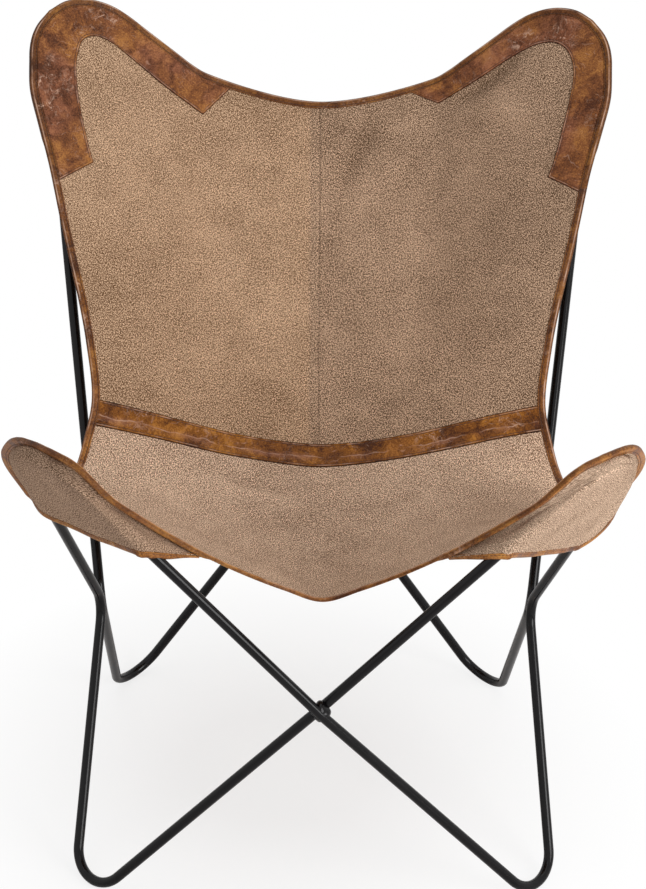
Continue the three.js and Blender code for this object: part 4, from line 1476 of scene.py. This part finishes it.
# A mouth's binding is narrower at its start and at its end than between them
MOUTH_START, MOUTH_END_SHARE = 0.3, 0.6
MOUTH_BACK = 1.0
# Its stitches: forth and under from its line, and places left out at both ends
MOUTH_STITCH = (2.4 - MOUTH_BACK, 1.55)
MOUTH_LEFT_OUT = 3


def clear_pocket(kind, index, plane, rod_places, ring):
    """A pocket's cloth from its tip to its mouth, off the rod inside it."""
    sizes = POCKETS[kind][index]
    fold = pocket_grid(
        plane, mouth_runs(kind, index), ring, sizes["bow"], sizes["puff"], kind == "wing")
    grid = relaxed(fold, POCKET_RELAXED)
    rows, columns = np.arange(POCKET_ROWS + 1), np.arange(2 * POCKET_ROWS + 1)
    layer = np.minimum(rows[:, None], np.minimum(columns, columns[::-1]))
    last = grid[-1, FOLD_ROWS:-FOLD_ROWS]
    runs = runs_of(last)
    shift = mouth_line(kind, index, plane, ring).at(runs / runs[-1]) - last
    near_mouth = eased(POCKET_ROWS - MOUTH_ROWS, POCKET_ROWS, rows)
    grid[:, FOLD_ROWS:-FOLD_ROWS] += shift[None] * near_mouth[:, None, None]
    kept = layer <= FOLD_ROWS
    kept[-1, FOLD_ROWS] = kept[-1, -1 - FOLD_ROWS] = False
    grid[kept] = fold[kept]
    across, down = (runs_along(grid, axis, POCKET_ROWS) for axis in (1, 0))
    puckers = waves(across, down, PUCKER_SEED + index + len(kind), *PUCKERS)
    share = eased(FOLD_ROWS, 2 * WRAP_ROWS, rows[:, None])
    across_share = 1 - eased(*PUCKER_SIDE, np.abs(np.linspace(-1, 1, len(columns))))[None]
    if np.dot(facing(grid)[POCKET_ROWS // 2, POCKET_ROWS], plane["front"]) < 0:
        grid, puckers = grid[:, ::-1], puckers[:, ::-1]
    dips = np.minimum(puckers * PUCKER_HEIGHT * share * across_share, PUCKER_TOP)
    at_mouth = eased(*MOUTH_GAP_ROWS, rows - len(rows))[:, None]
    gaps = FREE_GAP + (MOUTH_GAP - FREE_GAP) * at_mouth
    grid = clear_of_rod(grid + facing(grid) * dips[..., None], rod_places, gaps)
    inside = slice(FOLD_ROWS + 1, -FOLD_ROWS - 1)
    for _ in range(EVENED_PASSES):
        grid[-MOUTH_EVENED:, inside] = evened(grid, 1)[-MOUTH_EVENED:, inside]
    return clear_of_rod(grid, rod_places, gaps)


def mouth_binding(kind, side, plane, last, onward):
    """Leather folded round a pocket's open edge, with the line of its stitches."""
    kept = slice(FOLD_ROWS, -FOLD_ROWS)
    fine = np.linspace(0, 1, MOUTH_COLUMNS)
    line = Line(last[kept])
    places = line.at(fine)
    onward = read_at(fine, line.runs / line.length, onward[kept])
    travel = unit(np.gradient(places, axis=0))
    onward = unit(onward - (onward * travel).sum(-1, keepdims=True) * travel)
    away = unit(np.cross(onward, travel))
    away *= np.sign(away[MOUTH_COLUMNS // 2] @ plane["front"])
    full = eased(0, MOUTH_TAPER, fine) * (
        1 - MOUTH_END_SHARE * eased(1 - MOUTH_TAPER, 1, fine))
    swept(
        f"{kind}_mouth_{side}", places - onward * MOUTH_BACK, onward, away, MOUTH_FOLD,
        f"{kind}_mouth_binding_{side}", width=MOUTH_START + (1 - MOUTH_START) * full,
    )
    forth, under = MOUTH_STITCH
    kept = slice(MOUTH_LEFT_OUT, -MOUTH_LEFT_OUT)
    SEAM_LINES[f"{kind}_mouth_{side}"] = (
        (places + onward * forth - away * under)[kept], -away[kept])


def pocket(loop, index, kind):
    """A pocket's cloth, with a little of it inside the binding of its mouth."""
    side = SIDES[index][0]
    plane, rod_places, rod_travels = rod_round(kind, index)
    grid = clear_pocket(
        kind, index, plane, rod_places, around_rod(plane, rod_places, rod_travels))
    last = grid[-1]
    cloth_out = facing(grid)[MOUTH_WAY_ROWS].mean(0)
    for _ in range(MOUTH_WAY_EVENED):
        cloth_out[1:-1] = (cloth_out[:-2] + 2 * cloth_out[1:-1] + cloth_out[2:]) / 4
    onward = unit(np.cross(cloth_out, np.gradient(last, axis=0)))
    onward *= np.sign(onward[POCKET_ROWS] @ (last - grid[-2])[POCKET_ROWS])
    whole = np.concatenate([grid, last[None] + onward[None] * TAIL[:, None, None]])
    whole = clear_of_rod(finer(whole), rod_places, FREE_GAP)
    middle = 2 * POCKET_ROWS
    marks = np.stack([runs_along(whole, 1, middle), -runs_along(whole, 0, middle)], -1)
    cloth_piece(
        f"{kind}_pocket_canvas_{side}", whole, marks, POCKET_CLOTH[kind][index],
        "canvas_pocket", f"{kind}_pocket_{side}", loop,
    )
    mouth_binding(kind, side, plane, last, onward)


for index in range(2):
    pocket("back", index, "ear")
    pocket("front", index, "wing")


# Stitches: one short thread, copied along every groove


def thread_shape():
    """The places and faces of one stitch, along X, as long as 1 and as thick as 1."""
    thread = ball(
        8, 6, 0.5, bpy.ops.transform.rotate,
        value=math.pi / 2, orient_axis="Y", center_override=(0.0, 0.0, 0.0))
    places = np.array([tuple(vertex.co) for vertex in thread.data.vertices])
    faces = [tuple(face.vertices) for face in thread.data.polygons]
    bpy.data.objects.remove(thread)
    return places, faces


THREAD_PLACES, THREAD_FACES = thread_shape()
STITCH_PITCH = 4.6
STITCH = (3.7, 0.95, 0.75)
STITCH_LEVEL = 0.35


def stitches(name, places, out, lift):
    """A row of stitches over a line of places, with the ways that they face."""
    line = Line(places + out * lift)
    count = max(int(line.length / STITCH_PITCH), 2)
    shares = (np.arange(count) + 0.5) / count
    half = STITCH_LEVEL * STITCH_PITCH / line.length
    along = unit(line.at(shares + half) - line.at(shares - half))
    up = unit(read_at(shares * line.length, line.runs, out))
    side = unit(np.cross(up, along))
    points = line.at(shares)[:, None]
    for axis, way in enumerate((along, side, np.cross(along, side))):
        points = points + way[:, None] * THREAD_PLACES[None, :, axis : axis + 1] * STITCH[axis]
    faces = [
        tuple(corner + number * len(THREAD_PLACES) for corner in face)
        for number in range(count)
        for face in THREAD_FACES
    ]
    finish_piece(mesh_piece(name, points, faces), THREAD)


# How far inward the stitches lie and how high, on the face and on the under side, and how
# much of the fold's depth they follow
FACE_STITCH, UNDER_STITCH = (7.9, 1.95), (7.1, 1.6)
UNDER_SHARE = 0.98
SEAM_LIFT = 0.1
ROW_GAP, ROW_STEP = 1, 4

for name, _, part in EDGES:
    low, high = border.starts[part] + ROW_GAP, border.starts[part + 1] - ROW_GAP
    runs = np.linspace(low, high, int((high - low) / ROW_STEP))
    out = unit(border.read(border.out, runs))
    stitches(f"{name}_stitches", border.at(runs, FACE_STITCH[0]), out, FACE_STITCH[1])
    lowered = UNDER_SHARE * UNDER_FOLD_DEPTH * in_pocket(runs)[:, None]
    stitches(f"{name}_under_stitches", border.at(runs, UNDER_STITCH[0]), -out,
             UNDER_STITCH[1] + lowered)
for name, (line, out) in SEAM_LINES.items():
    stitches(f"{name}_stitches", line, out, SEAM_LIFT)


# Stage, light and camera


def mix_shaders(tree, share, first, second, output):
    mix = tree.nodes.new("ShaderNodeMixShader")
    for socket, value in zip(mix.inputs, (share, first, second)):
        plug(tree, socket, value)
    tree.links.new(mix.outputs[0], output.inputs[0])


# The floor is white to the eye away from the chair, and keeps its shadow near it: from
# where, over which distances, and how white there
SHADOW_PLACE = (-0.04, -0.1, 0.0)
SHADOW_SPAN = (0.12, 0.5, 0.56, 1.0)


def plain_stage():
    bpy.ops.object.select_all(action="DESELECT")
    bpy.ops.mesh.primitive_plane_add(size=40, location=(0, 8, 0))
    floor = bpy.context.object
    floor.name = "floor"
    made = Finish("pale_floor", roughness=1.0, specular_ior_level=0.0)
    made.set(base_color=paint(250, 249, 249))
    place = made.node("NewGeometry", out=0)
    away = made.node("VectorMath", {"operation": "DISTANCE"}, {0: place, 1: SHADOW_PLACE}, out=1)
    seen = made.node("LightPath", out=0)
    white = made.node("Emission", None, {"Color": (1, 1, 1, 1), "Strength": 1.0})
    mix_shaders(
        made.tree, made.span(away, *SHADOW_SPAN) * seen,
        Shade(made.tree, made.surface.outputs[0]), white, made.tree.nodes["Material Output"])
    floor.data.materials.append(made.material)


WORLD_LIGHT = 0.57


def plain_world():
    """White to the eye and in reflections, and dimmer as a light."""
    world = bpy.data.worlds.new("white_studio")
    bpy.context.scene.world = world
    world.use_nodes = True
    tree = world.node_tree
    tree.nodes.clear()
    backgrounds = []
    for strength in (WORLD_LIGHT, 1.0):
        background = tree.nodes.new("ShaderNodeBackground")
        background.inputs["Color"].default_value = (1, 1, 1, 1)
        background.inputs["Strength"].default_value = strength
        backgrounds.append(Shade(tree, background.outputs[0]))
    path = tree.nodes.new("ShaderNodeLightPath")
    rays = Shade(tree, path.outputs["Is Camera Ray"]) + Shade(tree, path.outputs["Is Glossy Ray"])
    rays = rays + Shade(tree, path.outputs["Is Transmission Ray"])
    mix_shaders(tree, rays, *backgrounds, tree.nodes.new("ShaderNodeOutputWorld"))


LAMP_AIM = Vector((0, -0.05, 0.45))


def lamp(name, place, size, power):
    data = bpy.data.lights.new(name, "AREA")
    data.shape = "RECTANGLE"
    data.size = data.size_y = size
    data.energy = power
    piece = bpy.data.objects.new(name, data)
    bpy.context.scene.collection.objects.link(piece)
    aim = LAMP_AIM - Vector(place)
    piece.rotation_euler = aim.to_track_quat("-Z", "Y").to_euler()
    piece.location = place


FOCAL_PIXELS = 2583.23
MIDDLE_PIXEL = (338.5, 409.6)
IMAGE = (646, 889)
CAMERA_PLACE = (-86.98, -2755.37, 2108.27)
CAMERA_YAW, CAMERA_PITCH, CAMERA_ROLL = 0.039, 0.515, 0.032
SENSOR = 36.0


def photo_camera():
    data = bpy.data.cameras.new("photo_camera")
    data.sensor_fit = "HORIZONTAL"
    data.sensor_width = SENSOR
    data.lens = SENSOR * FOCAL_PIXELS / IMAGE[0]
    data.shift_x = (IMAGE[0] / 2 - MIDDLE_PIXEL[0]) / IMAGE[0]
    data.shift_y = (MIDDLE_PIXEL[1] - IMAGE[1] / 2) / IMAGE[0]
    camera = bpy.data.objects.new("photo_camera", data)
    bpy.context.scene.collection.objects.link(camera)
    ahead = vec(
        math.sin(CAMERA_YAW) * math.cos(CAMERA_PITCH),
        math.cos(CAMERA_YAW) * math.cos(CAMERA_PITCH),
        -math.sin(CAMERA_PITCH),
    )
    level = vec(math.cos(CAMERA_YAW), -math.sin(CAMERA_YAW), 0)
    over = np.cross(level, ahead)
    right = level * math.cos(CAMERA_ROLL) + over * math.sin(CAMERA_ROLL)
    up = over * math.cos(CAMERA_ROLL) - level * math.sin(CAMERA_ROLL)
    turn = Matrix([right.tolist(), up.tolist(), (-ahead).tolist()]).transposed().to_4x4()
    camera.matrix_world = Matrix.Translation(Vector(to_metres(vec(*CAMERA_PLACE)))) @ turn
    data.clip_end = 100
    bpy.context.scene.camera = camera


plain_stage()
plain_world()
lamp("right_soft_light", (2.1, -1.9, 1.3), 1.5, 50)
lamp("left_fill_light", (-2.4, -1.4, 2.2), 2.4, 3)
lamp("overhead_light", (0.2, 0.2, 3.4), 3.0, 22)
photo_camera()

bpy.context.scene.view_settings.view_transform = "Standard"
bpy.context.view_layer.update()
